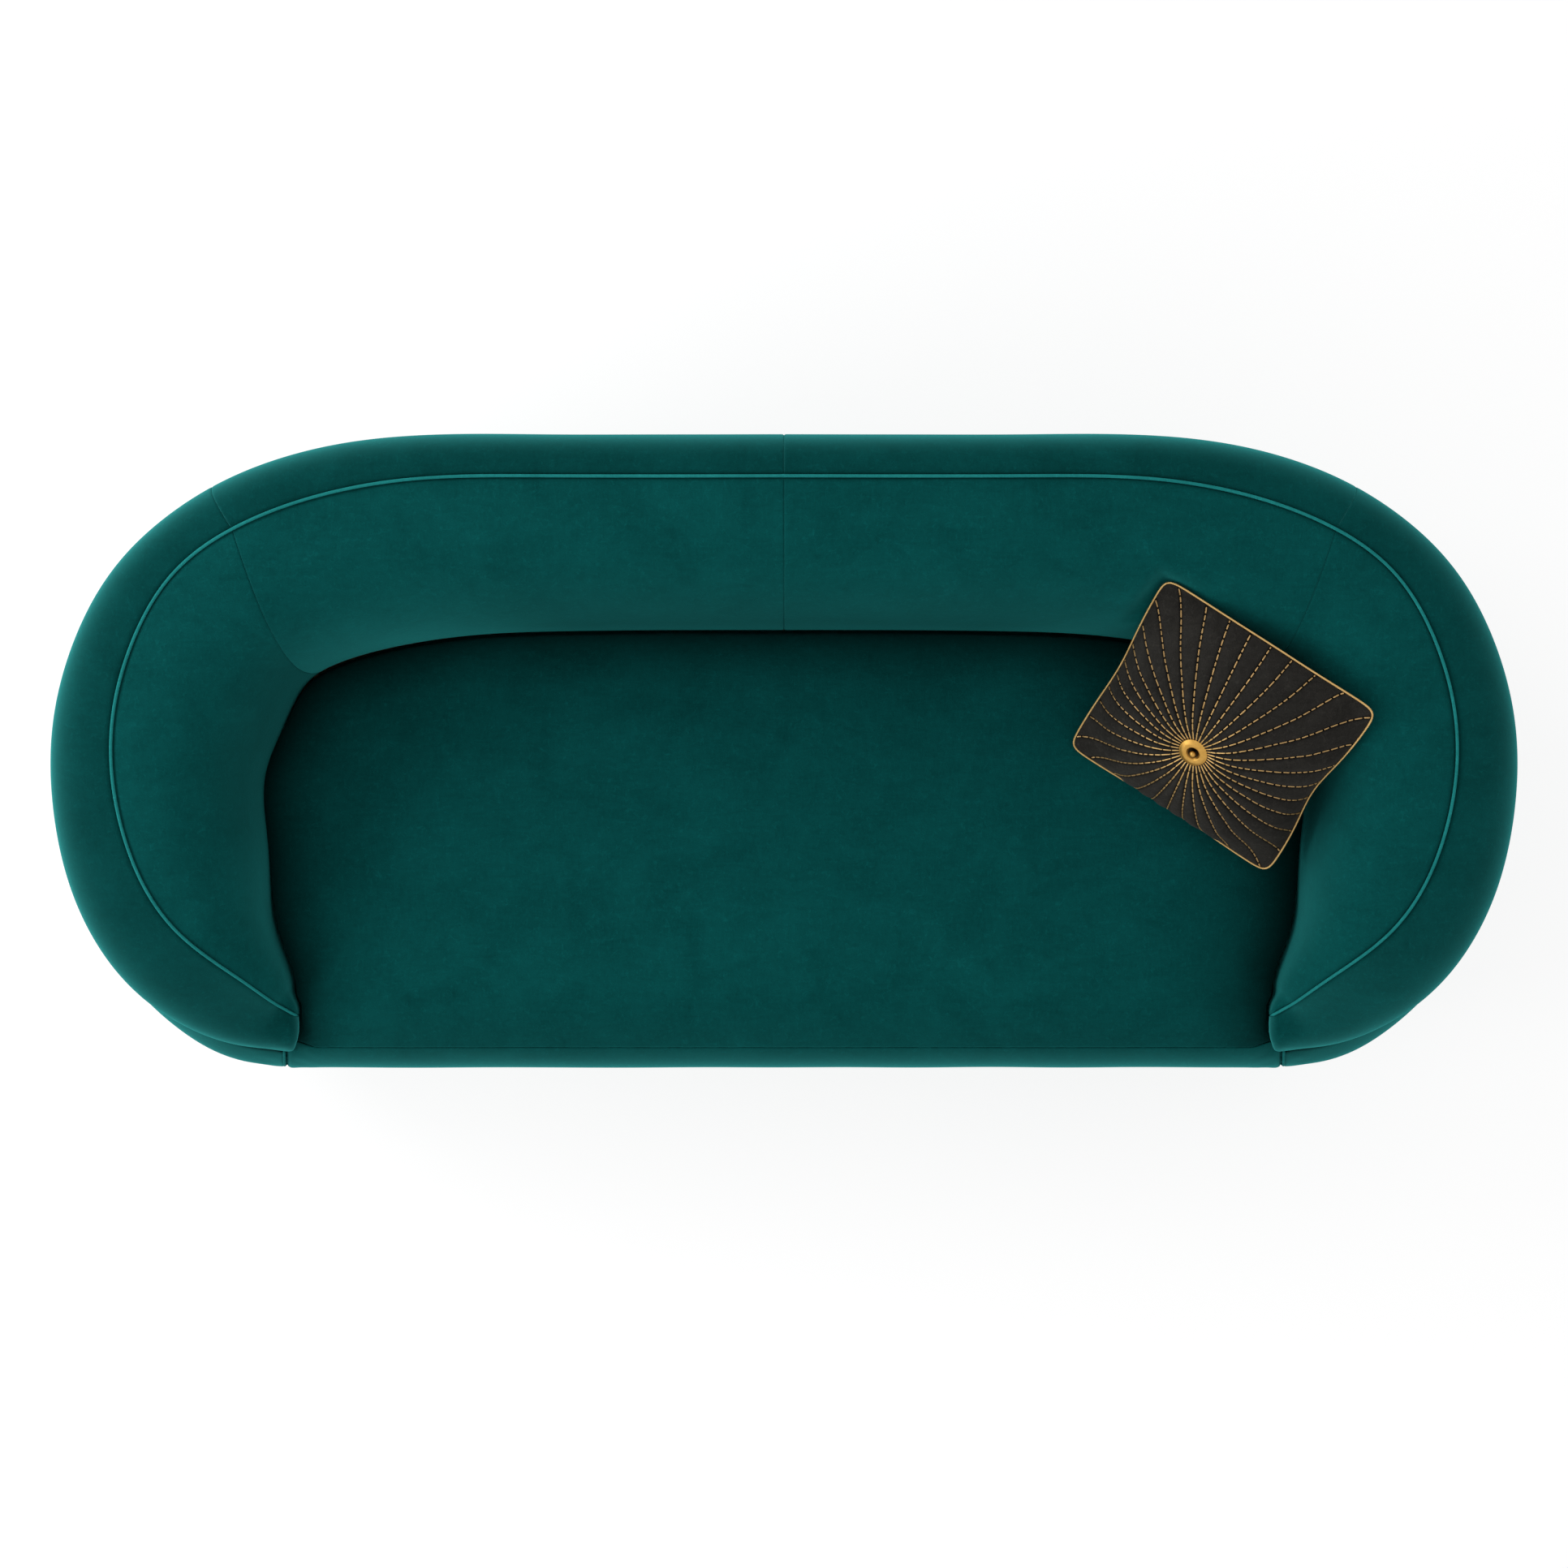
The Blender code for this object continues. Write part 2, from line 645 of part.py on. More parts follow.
def deck_width(along):
    """Half the free width between the wall's pads at a distance along Y."""
    right = [point for point in deck_line if point[0] >= 0]
    return max(
        a[0] + (b[0] - a[0]) * (along - a[1]) / (b[1] - a[1])
        for a, b in zip(right, right[1:])
        if min(a[1], b[1]) <= along <= max(a[1], b[1]) and a[1] != b[1]
    )


def deck_back(across):
    """How far back the free deck reaches at a distance along X."""
    right = [point for point in deck_line if point[0] >= 0]
    return max(
        a[1] + (b[1] - a[1]) * (abs(across) - a[0]) / (b[0] - a[0])
        for a, b in zip(right, right[1:])
        if a[0] <= abs(across) <= b[0] and a[0] != b[0]
    )


strap_low = DECK_HEIGHT + GAP
deck_front = front_rail_face + STRAP_MARGIN
straps = []
cross_count = int(NOSE_HALF_WIDTH / STRAP_SPACING)
for step in range(-cross_count, cross_count + 1):
    middle = step * STRAP_SPACING
    reach = deck_back(abs(middle) + STRAP_WIDTH / 2)
    low = (middle - STRAP_WIDTH / 2, deck_front, strap_low)
    straps.append((low, (middle + STRAP_WIDTH / 2, reach, strap_low + STRAP_THICKNESS)))
long_low = strap_low + STRAP_WEAVE
long_count = int((deck_back(0) - deck_front) / STRAP_SPACING)
for step in range(1, long_count + 1):
    middle = deck_front + step * STRAP_SPACING
    reach = min(deck_width(middle + STRAP_WIDTH / 2), deck_width(middle - STRAP_WIDTH / 2))
    low = (-reach, middle - STRAP_WIDTH / 2, long_low)
    straps.append((low, (reach, middle + STRAP_WIDTH / 2, long_low + STRAP_THICKNESS)))
webbing = None
for count, (low, high) in enumerate(straps):
    strap = box(f"strap_{count}", low, high, WEBBING)
    if webbing is None:
        webbing = strap
        webbing.name = "seat_webbing"
        continue
    strap.hide_render = True
    strap.display_type = "WIRE"
    join = webbing.modifiers.new(strap.name, "BOOLEAN")
    join.operation = "UNION"
    join.object = strap

# Front border: the padded face of the front rail, from the seat seam to the bottom edge
seat_seam_height = SEAT_HEIGHT - SEAT_SEAM_DROP
seat_seam_line = -HALF_DEPTH + SEAT_SEAM_SETBACK
border_half_length = NOSE_HALF_WIDTH - 2 * WELT_SLOT


def border_face():
    """The border's front in Y and Z, from its seam over the swell to its bottom edge."""
    swell_height = SEAT_HEIGHT - BORDER_DROP
    face = [(seat_seam_line, seat_seam_height)]
    for share in BORDER_POINT_SHARES:
        turn = share * math.pi / 2
        y = seat_seam_line - SEAT_SEAM_SETBACK * math.sin(turn)
        face.append((y, swell_height + (seat_seam_height - swell_height) * math.cos(turn)))
    for share in LOWER_POINT_SHARES:
        y = -HALF_DEPTH + PANEL_TUCK * share**2
        face.append((y, swell_height + share * (PANEL_BOTTOM - swell_height)))
    return face


rail_cover = front_rail_face - GAP
border_outline = [
    *border_face(),
    (rail_cover, PANEL_BOTTOM),
    (rail_cover, DECK_HEIGHT),
    (seat_seam_line, DECK_HEIGHT),
]
bm = bmesh.new()
ends = []
for x in (-border_half_length, border_half_length):
    ends.append([bm.verts.new((x, y, z)) for y, z in border_outline])
for i in range(len(border_outline)):
    j = (i + 1) % len(border_outline)
    bm.faces.new((ends[0][i], ends[0][j], ends[1][j], ends[1][i]))
bm.faces.new(ends[0])
bm.faces.new(ends[1])
finish("front_border", bm, VELVET_COVER, True)

# Short welts where the border meets the noses
welt_x = NOSE_HALF_WIDTH - WELT_SLOT
for side_name, side in SIDES:
    face = border_face()
    start = [(a + WELT_START_SHARE * (b - a)) for a, b in zip(face[0], face[1])]
    route = [(side * welt_x, y + WELT_SINK, z) for y, z in [start, *face[1:]]]
    tube(f"front_welt_{side_name}", route, PIPING_RADIUS, VELVET_WELT)

# Crest piping, one welt from nose to nose in the groove between the pads
piping = []
for number in WHOLE:
    at = station(number)
    piping.append(place(at, at.band, at.crest, 1))
piping[0].x = 0
piping = [Vector((-p.x, p.y, p.z)) for p in reversed(piping[1:])] + piping
tube("crest_piping", piping, PIPING_RADIUS, VELVET_WELT)

# Seat pad: a crowned foam seat that fills the plan between the wall and the front border
seat_line = wall_line(lambda at: at.wall, WHOLE, SEAT_GAP)
seat_corner = seat_line[-1][0]
seat_front = seat_seam_line + SOFT_GAP
seat_line += [(seat_corner * share, seat_front) for share in SEAT_FRONT_SHARES]
seat_middle = Vector((0, (seat_front + back_at.outline.y - back_at.wall) / 2, 0))


def seat_pad():
    bm = bmesh.new()
    floor = DECK_HEIGHT + GAP + STRAP_WEAVE + STRAP_THICKNESS + GAP
    loops = [[bm.verts.new((x, y, floor)) for x, y in seat_line]]
    for spread, rise in SEAT_PROFILE_SHARES:
        height = SEAT_HEIGHT + rise * SEAT_CROWN
        loop = []
        for x, y in seat_line:
            spot = seat_middle.lerp(Vector((x, y, 0)), spread)
            loop.append(bm.verts.new((spot.x, spot.y, height)))
        loops.append(loop)
    for loop, following in zip(loops, loops[1:]):
        for i in range(len(loop)):
            j = (i + 1) % len(loop)
            bm.faces.new((loop[i], loop[j], following[j], following[i]))
    bm.faces.new(loops[0])
    top = bm.verts.new((*seat_middle.xy, SEAT_HEIGHT + SEAT_CROWN))
    for i in range(len(seat_line)):
        bm.faces.new((loops[-1][i], loops[-1][(i + 1) % len(seat_line)], top))
    return finish("seat_pad", bm, VELVET_COVER, True)


seat_pad()

# Scatter cushion, made flat around its own centre and then leaned into the corner


def cushion_edge(turn):
    """The cushion's outline: a square with round corners whose sides draw in between them."""
    power = 2 / (1 - CUSHION_CORNER_SHARE)
    round_reach = (abs(math.cos(turn)) ** power + abs(math.sin(turn)) ** power) ** (-1 / power)
    draw = CUSHION_DRAW_IN * math.cos(2 * turn) ** 2
    reach = CUSHION_HALF_SIDE * round_reach - draw
    return Vector((reach * math.cos(turn), reach * math.sin(turn), 0))


def cushion_height(spot):
    """Half the thickness over a spot of the cushion's plan, sunk at the tuft."""
    fullness = 1.0
    for across in (spot.x, spot.y):
        share = min(abs(across) / CUSHION_HALF_SIDE, 1)
        fullness *= 1 - share**2
    tuft = TUFT_DEPTH * math.exp(-(((spot - TUFT).length / TUFT_SPREAD) ** 2))
    return CUSHION_THICKNESS / 2 * fullness**CUSHION_FULLNESS - tuft


TUFT = Vector((TUFT_ACROSS, TUFT_ALONG, 0))
TUFT_FLOOR = cushion_height(TUFT + Vector((DISC_RADIUS / 2, 0, 0)))
CUSHION_TURNS = [math.tau * count / (2 * RAYS) for count in range(2 * RAYS)]


def cushion_face(bm, ring_shares, facing, rim, channel):
    """One face of the cushion: rings between its rim and its middle, sunk by a channel at each ray."""
    loops = [rim]
    for share in reversed(ring_shares):
        loop = []
        for count, turn in enumerate(CUSHION_TURNS):
            spot = TUFT.lerp(cushion_edge(turn), share)
            height = TUFT_FLOOR
            if share > ring_shares[0]:
                height = cushion_height(spot) - channel * (count % 2 == 0)
            loop.append(bm.verts.new((spot.x, spot.y, facing * height)))
        loops.append(loop)
    for loop, following in zip(loops, loops[1:]):
        for i in range(len(loop)):
            j = (i + 1) % len(loop)
            bm.faces.new((loop[i], loop[j], following[j], following[i]))
    bm.faces.new(loops[-1])


def cushion_frame():
    """Directions of the leaned cushion: along its lower edge, up its slope, and out of its front."""
    edge = Vector((math.cos(CUSHION_HEADING), math.sin(CUSHION_HEADING), math.tan(CUSHION_ROLL)))
    edge.normalize()
    climb = CUSHION_HEADING + math.pi / 2 + CUSHION_SKEW
    slope = Vector((math.cos(climb), math.sin(climb), math.tan(CUSHION_TILT)))
    slope.normalize()
    return edge, slope, edge.cross(slope).normalized()


EDGE, SLOPE, FRONT = cushion_frame()


def leaned(point, middle):
    return middle + EDGE * point.x + SLOPE * point.y + FRONT * point.z


def tree_of(names):
    """One search tree over the faces of the named pieces."""
    points = []
    faces = []
    for name in names:
        mesh = bpy.data.objects[name].data
        first = len(points)
        points += [vertex.co.copy() for vertex in mesh.vertices]
        faces += [[first + index for index in face.vertices] for face in mesh.polygons]
    return BVHTree.FromPolygons(points, faces)


def room_towards(points, way, tree):
    """How far the points can move one way before the first meets the tree."""
    hits = [tree.ray_cast(point, way) for point in points]
    return min((hit[3] for hit in hits if hit[0] is not None), default=0.0)


# The cushion starts over the seat, is lowered until it rests, then slid back until it leans
body = bmesh.new()
rim = [body.verts.new(cushion_edge(turn)) for turn in CUSHION_TURNS]
cushion_face(body, CUSHION_RING_SHARES, 1, rim, RAY_CHANNEL)
cushion_face(body, CUSHION_BACK_SHARES, -1, rim, 0)
welt_line = []
welt_outside = []
for turn in CUSHION_TURNS:
    spot = cushion_edge(turn)
    outward = spot.normalized()
    welt_line.append(spot + outward * RIM_STAND_SHARE * (CUSHION_PIPING + GAP))
    welt_outside.append(welt_line[-1] + outward * CUSHION_PIPING)
flat_points = [vertex.co.copy() for vertex in body.verts] + welt_outside
arm_line = place(station(ARM_MIDDLE), station(ARM_MIDDLE).wall, SEAT_HEIGHT, 1)
back_line = place(back_at, back_at.wall, SEAT_HEIGHT, 1)
start = Vector((arm_line.x - STAND_OFF_ARM, back_line.y - STAND_OFF_BACK, BACK_HEIGHT))
fall = room_towards([leaned(p, start) for p in flat_points], Vector((0, 0, -1)), tree_of(["seat_pad"]))
resting = start - Vector((0, 0, fall - SOFT_GAP))
lean_way = Vector((SLOPE.x, SLOPE.y, 0)).normalized()
wall_tree = tree_of(["back_inside_pad_right", "arm_inside_pad_right"])
slide = room_towards([leaned(p, resting) for p in flat_points], lean_way, wall_tree)
middle = resting + lean_way * (slide - SOFT_GAP)
for vertex in body.verts:
    vertex.co = leaned(vertex.co, middle)
finish("scatter_cushion", body, CUSHION_COVER, True)
welt_route = [leaned(point, middle) for point in welt_line]
tube("cushion_piping", welt_route, CUSHION_PIPING, GOLD_TRIM, closed=True)


def lathe(name, profile, look):
    """A turned piece on the cushion's tuft, its profile in radius and height over the tuft."""
    bm = bmesh.new()
    verts = [bm.verts.new((radius, 0, height)) for radius, height in profile]
    edges = [bm.edges.new(pair) for pair in zip(verts, verts[1:])]
    bmesh.ops.spin(
        bm,
        geom=verts + edges,
        axis=(0, 0, 1),
        cent=(0, 0, 0),
        angle=math.tau,
        steps=LATHE_STEPS,
        use_merge=True,
    )
    bmesh.ops.remove_doubles(bm, verts=bm.verts, dist=GAP / 10)
    for vertex in bm.verts:
        vertex.co = leaned(vertex.co + TUFT + Vector((0, 0, TUFT_FLOOR)), middle)
    return finish(name, bm, look, True)


disc_profile = [(0, GAP)]
for reach, thick, dish in DISC_PROFILE_SHARES:
    height = GAP + thick * DISC_THICKNESS + dish * DISC_DISH
    disc_profile.append((reach * DISC_RADIUS, height))
disc_profile.append((0, GAP + DISC_THICKNESS))
lathe("cushion_disc", disc_profile, GOLD_TRIM)
button_seat = GAP + DISC_THICKNESS + GAP
button_turns = [math.pi * step / BUTTON_STEPS for step in range(BUTTON_STEPS + 1)]
button_profile = []
for turn in button_turns:
    rise = BUTTON_RADIUS * (1 - math.cos(turn))
    button_profile.append((BUTTON_RADIUS * math.sin(turn), button_seat + rise))
lathe("cushion_button", button_profile, GOLD_TRIM)
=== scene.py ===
# %% [markdown]
# # A curved velvet sofa, seen from straight above
#
# A tub sofa is one long padded wall: it is the back in the middle and an arm at each end. A welt runs
# along its crest, with a plump inside pad on the seat side and a crest band on the other. The packed
# model already holds the frame, the plinth and plain solids for the soft parts. This script gives every
# soft part its real cover, and every surface its finish.

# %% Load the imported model
import math
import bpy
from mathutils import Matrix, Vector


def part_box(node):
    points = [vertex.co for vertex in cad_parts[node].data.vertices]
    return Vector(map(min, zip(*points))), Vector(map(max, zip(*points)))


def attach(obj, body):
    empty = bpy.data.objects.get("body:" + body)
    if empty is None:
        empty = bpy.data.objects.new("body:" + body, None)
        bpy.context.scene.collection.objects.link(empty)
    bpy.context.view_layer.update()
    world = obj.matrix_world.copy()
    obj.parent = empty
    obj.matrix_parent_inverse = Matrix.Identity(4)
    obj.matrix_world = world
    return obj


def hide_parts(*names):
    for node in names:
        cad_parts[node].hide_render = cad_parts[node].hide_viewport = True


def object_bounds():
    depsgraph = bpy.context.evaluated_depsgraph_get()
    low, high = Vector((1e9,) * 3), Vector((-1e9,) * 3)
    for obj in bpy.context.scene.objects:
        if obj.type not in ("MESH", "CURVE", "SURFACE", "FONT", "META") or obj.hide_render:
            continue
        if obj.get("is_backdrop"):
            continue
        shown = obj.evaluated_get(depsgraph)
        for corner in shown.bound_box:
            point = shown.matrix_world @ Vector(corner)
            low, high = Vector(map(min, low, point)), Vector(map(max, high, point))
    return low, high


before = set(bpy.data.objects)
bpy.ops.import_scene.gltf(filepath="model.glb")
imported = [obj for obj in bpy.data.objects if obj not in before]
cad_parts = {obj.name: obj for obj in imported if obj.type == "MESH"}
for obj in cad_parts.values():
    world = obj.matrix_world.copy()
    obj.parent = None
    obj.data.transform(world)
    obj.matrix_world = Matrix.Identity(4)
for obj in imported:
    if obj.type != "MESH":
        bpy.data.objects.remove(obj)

from types import SimpleNamespace

import bmesh
import bpy
import numpy as np
from mathutils import Matrix, Vector

cad_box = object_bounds()
corners = [tuple(round(v, 3) for v in corner) for corner in cad_box]
print("packed model:", len(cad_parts), "nodes, box", corners)

# %% [markdown]
# ## The camera
#
# The photograph looks straight down, so the camera hangs over the middle of the sofa and looks along
# -Z. A long lens from far away and a short one from near by can show the same width, but they show the
# height differently. This one hangs 4.6 m over the floor, which gives the slight leaning out of the
# tall back that the photograph shows.

# %% Place the camera over the sofa
CAMERA_HEIGHT = 4.6
CAMERA_FORWARD = 0.0385
PHOTO_SIDE_PX = 1932
FOCAL_PX = 3015
SENSOR_MM = 36

bpy.context.scene.view_settings.view_transform = "Standard"
camera_data = bpy.data.cameras.new("overhead")
camera_data.sensor_width = SENSOR_MM
camera_data.lens = FOCAL_PX / PHOTO_SIDE_PX * SENSOR_MM
camera_data.clip_end = 60
camera = bpy.data.objects.new("overhead", camera_data)
camera.location = (0, -CAMERA_FORWARD, CAMERA_HEIGHT)
bpy.context.scene.collection.objects.link(camera)
bpy.context.scene.camera = camera
print("lens", round(camera_data.lens, 2), "mm")

# %% [markdown]
# ## Shader maths as plain sums
#
# A node tree is a sum written with boxes and wires. Written in Python it is easier to read, so a small
# class wraps a socket: adding or multiplying two wrapped sockets adds the Math node that does it.

# %% A wire that takes part in sums, and a look that holds its nodes


class Wire:
    """The output socket of a node, which takes part in sums."""

    def __init__(self, look, socket):
        self.look = look
        self.socket = socket

    def maths(self, operation, first, second):
        return self.look.node("ShaderNodeMath", {0: first, 1: second}, operation=operation)

    def __add__(self, other):
        return self.maths("ADD", self, other)

    __radd__ = __add__

    def __mul__(self, other):
        return self.maths("MULTIPLY", self, other)

    __rmul__ = __mul__

    def __sub__(self, other):
        return self.maths("SUBTRACT", self, other)

    def __rsub__(self, other):
        return self.maths("SUBTRACT", other, self)

    def __pow__(self, other):
        return self.maths("POWER", self, other)


class Nodes:
    """A node tree, with one method that adds any node and one that sets its surface."""

    def __init__(self, tree):
        self.tree = tree

    def node(self, kind, inputs, output=0, stops=(), **settings):
        made = self.tree.nodes.new(kind)
        for key, value in settings.items():
            setattr(made, key, value)
        for place, (position, grey) in enumerate(stops):
            if place > 1:
                made.color_ramp.elements.new(position)
            made.color_ramp.elements[place].position = position
            made.color_ramp.elements[place].color = (grey, grey, grey, 1)
        self.plug(made, inputs)
        return Wire(self, made.outputs[output])

    def plug(self, made, inputs):
        for name, value in inputs.items():
            if isinstance(value, Wire):
                self.tree.links.new(value.socket, made.inputs[name])
            else:
                made.inputs[name].default_value = value

    def surface(self, share, first, second, output="Material Output"):
        """Mixes two shaders and makes the mix what is seen."""
        mixed = self.node("ShaderNodeMixShader", {0: share, 1: first, 2: second})
        self.tree.links.new(mixed.socket, self.tree.nodes[output].inputs["Surface"])


MIX_FIRST, MIX_SECOND, MIX_RESULT = 6, 7, 2    # the colour sockets of the Mix node


class Look(Nodes):
    """A material, and its Principled shader."""

    def __init__(self, name, colour, roughness, metallic=0.0):
        self.material = bpy.data.materials.new(name)
        self.material.use_nodes = True
        super().__init__(self.material.node_tree)
        self.shader = self.tree.nodes["Principled BSDF"]
        self.set(Base_Color=(*colour, 1), Roughness=roughness, Metallic=metallic)
        self.material.diffuse_color = (*colour, 1)

    def set(self, **inputs):
        self.plug(self.shader, {name.replace("_", " "): value for name, value in inputs.items()})

    def place(self, scale=(1, 1, 1), turn=(0, 0, 0)):
        """Object coordinates, stretched and turned by a Mapping node."""
        coords = self.node("ShaderNodeTexCoord", {}, output="Object")
        return self.node("ShaderNodeMapping", {"Vector": coords, "Scale": scale, "Rotation": turn})

    def noise(self, coords, scale, detail=3.0, roughness=0.5, distortion=0.0):
        sizes = {"Scale": scale, "Detail": detail, "Roughness": roughness, "Distortion": distortion}
        return self.node("ShaderNodeTexNoise", {"Vector": coords, **sizes})

    def ramp(self, fac, *stops):
        return self.node("ShaderNodeValToRGB", {"Fac": fac}, stops=stops)

    def hairs(self, scale, turn, width, bend=1.8, finer=2.1):
        """Short curved strokes: thin contour lines of one noise, broken up by another."""
        curves = self.noise(self.place(turn=turn), scale, detail=1.0, distortion=bend)
        line = self.ramp(curves, (0.5 - width, 0.0), (0.5, 1.0), (0.5 + width, 0.0))
        breaks = self.noise(self.place(turn=turn[::-1]), scale * finer, detail=2.0)
        return line * self.ramp(breaks, (0.50, 0.0), (0.60, 1.0))

    def blend(self, fac, first, second):
        """A colour between two colours, either of which may be a wire."""
        first, second = [end if isinstance(end, Wire) else (*end, 1) for end in (first, second)]
        inputs = {"Factor": fac, MIX_FIRST: first, MIX_SECOND: second}
        return self.node("ShaderNodeMix", inputs, MIX_RESULT, data_type="RGBA", clamp_factor=True)

    def shade(self):
        """The painted shade that the mesh carries: 1 deep in a seam, crease or groove, and 0 in the open.
        """
        return self.node("ShaderNodeAttribute", {}, output="Fac", attribute_name="shade")

    def bump(self, height, distance, strength):
        relief = {"Height": height, "Distance": distance, "Strength": strength}
        self.set(Normal=self.node("ShaderNodeBump", relief))


print("shader maths ready")

# %% [markdown]
# ## Velvet
#
# Velvet is a dark ground with a dense pile standing on it. Seen along the pile it is deep and dark;
# seen across the pile it catches the light, so every rim glows. The shader's sheen does that part.
# Where a surface turns away, a second, lighter shader is mixed in as well: a painted sheen on the rims.
# In seams, creases and grooves the colour is painted far darker: painted shade.
# The pile also never lies quite the same way: hands and brushes leave soft blotches, wisps and fine
# curved hairs of lighter and darker colour. Noises of falling size stand for them. They vary the
# colour, and the finer ones also lift the surface.

# %% Velvet in any colour
MIDDLE_LIE = 0.46
BLOTCH_SHARE, WISP_SHARE, CROSSING_SHARE, HAIR_SHARE, PILE_SHARE = 0.8, 0.6, 0.45, 0.32, 0.75
PILE_LIFT, CROSSING_LIFT, WISP_LIFT, HAIR_LIFT = 0.55, 0.8, 1.2, 0.35
RELIEF = 0.0011
PAINTED_SHADE_SHARE = 0.2
ROUGHNESS_SPREAD = 0.12


def add_painted_rim_sheen(look, colour, strength, power):
    """Mixes a lighter diffuse shader in where the surface turns away, but not in a seam: a painted sheen
    on the rims.
    """
    facing = look.node("ShaderNodeLayerWeight", {"Blend": 0.5}, output="Facing")
    painted_rim_sheen = look.node("ShaderNodeBsdfDiffuse", {"Color": (*colour, 1), "Roughness": 1.0})
    share = facing**power * (1 - look.shade()) * strength
    look.surface(share, Wire(look, look.shader.outputs[0]), painted_rim_sheen)


def velvet(name, deep, bright, roughness, tint, sheen, sheen_spread, painted_rim_sheen=None):
    look = Look(name, deep, roughness)
    coords = look.place()
    blotches = look.noise(coords, 9.0, roughness=0.55, distortion=0.8)
    lengthwise = look.place(scale=(1, 3.0, 1.6), turn=(0.3, 0.2, 0.7))
    wisps = look.noise(lengthwise, 20.0, detail=4.0, roughness=0.62, distortion=1.6)
    crosswise = look.place(scale=(3.2, 1, 1.5), turn=(0.2, 0.5, 0.4))
    crossing = look.noise(crosswise, 46.0, roughness=0.6, distortion=1.0)
    pile = look.noise(coords, 620.0, roughness=0.65)
    hairs = look.hairs(38.0, (0.1, 0.3, 0.2), 0.035) + look.hairs(55.0, (0.7, 0.1, 1.3), 0.045)
    lie = MIDDLE_LIE + (blotches - 0.5) * BLOTCH_SHARE + (wisps - 0.5) * WISP_SHARE
    lie = lie + (crossing - 0.5) * CROSSING_SHARE + hairs * HAIR_SHARE + (pile - 0.5) * PILE_SHARE
    # The mesh's shade blends the colour towards a far darker one: painted shade in seams, creases and
    # grooves.
    painted_shade_colour = [value * PAINTED_SHADE_SHARE for value in deep]
    look.set(
        Base_Color=look.blend(look.shade(), look.blend(lie, deep, bright), painted_shade_colour),
        Roughness=roughness + (wisps - 0.5) * ROUGHNESS_SPREAD,
        Specular_IOR_Level=0.03,
        Sheen_Weight=sheen,
        Sheen_Roughness=sheen_spread,
        Sheen_Tint=(*tint, 1),
    )
    lift = pile * PILE_LIFT + crossing * CROSSING_LIFT + wisps * WISP_LIFT + hairs * HAIR_LIFT
    look.bump(lift, RELIEF, 0.5)
    if painted_rim_sheen:
        add_painted_rim_sheen(look, *painted_rim_sheen)
    return look.material


# Two copies of one teal velvet: the inside one keeps little sheen, so the pads' feet stay dark, and the
# outside one has a darker ground, strong sheen and painted rim sheen: lit and shaded copies of one
# material.
teal = velvet(
    "teal_velvet", deep=(0.0008, 0.047, 0.045), bright=(0.0028, 0.100, 0.096), roughness=0.9,
    tint=(0.030, 0.60, 0.58), sheen=0.08, sheen_spread=0.30, painted_rim_sheen=((0.030, 0.300, 0.290), 0.45, 1.6),
)
teal_outside = velvet(
    "teal_velvet_outside", deep=(0.0007, 0.038, 0.036), bright=(0.0024, 0.080, 0.077), roughness=0.9,
    tint=(0.05, 1.0, 0.97), sheen=0.45, sheen_spread=0.22, painted_rim_sheen=((0.045, 0.360, 0.350), 0.78, 1.5),
)
# The welt is the same velvet as the pads, painted about three times lighter: a painted highlight along the
# welts.
teal_piping = velvet(
    "teal_welt", deep=(0.0090, 0.165, 0.160), bright=(0.0200, 0.285, 0.275), roughness=0.75,
    tint=(0.05, 0.95, 0.92), sheen=0.3, sheen_spread=0.25,
)
charcoal = velvet(
    "charcoal_velvet", deep=(0.0115, 0.0110, 0.0100), bright=(0.0400, 0.0375, 0.0335), roughness=0.9,
    tint=(0.5, 0.47, 0.43), sheen=0.12, sheen_spread=0.4,
)
print("velvets:", ", ".join(look.name for look in (teal, teal_outside, teal_piping, charcoal)))

# %% [markdown]
# ## The sofa's wall, written once
#
# Every part of the wall follows the same plan outline and the same cross-section, which changes from
# the middle of the back to the nose of the arm. A dozen stations hold that change as shares of a few
# real sizes, and a natural spline reads them anywhere in between. Whatever is sewn to the wall then
# asks for the wall's sizes at its own place, so neighbours always meet. The outer seam's line is a
# little further in towards the noses than the line that the hidden crest rail follows.

# %% Sizes and stations of the wall
HALF_WIDTH = 1.200
HALF_DEPTH = 0.532
BACK_HEIGHT = 0.775
NOSE_HEIGHT = 0.445
SEAT_HEIGHT = 0.430
BAND_RUN = 0.0856
SLOPE_RUN = 0.222
SEAM_DROP = 0.120
SEAM_INSET = 0.030
PANEL_TUCK = 0.036
NOSE_SETBACK = 0.353
CREST_CROWN = 0.009
CREST_FULLNESS = 0.78
FULLER_BY_SEAM = 15.0
WIDEST_SHARE = 0.79
CREST_PADDING = 0.041
BOARD_COVER = 0.026
BOARD_FOOT_INSET = 0.045
PLY = 0.018
SOFT_GAP = 0.0010
DECK_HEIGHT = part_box("deck_ring_right")[1].z
PANEL_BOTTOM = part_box("base_board_right")[0].z
CORNER_SEAM = 3
DENSE_COUNT = 2200
SIDES = (("left", -1), ("right", 1))

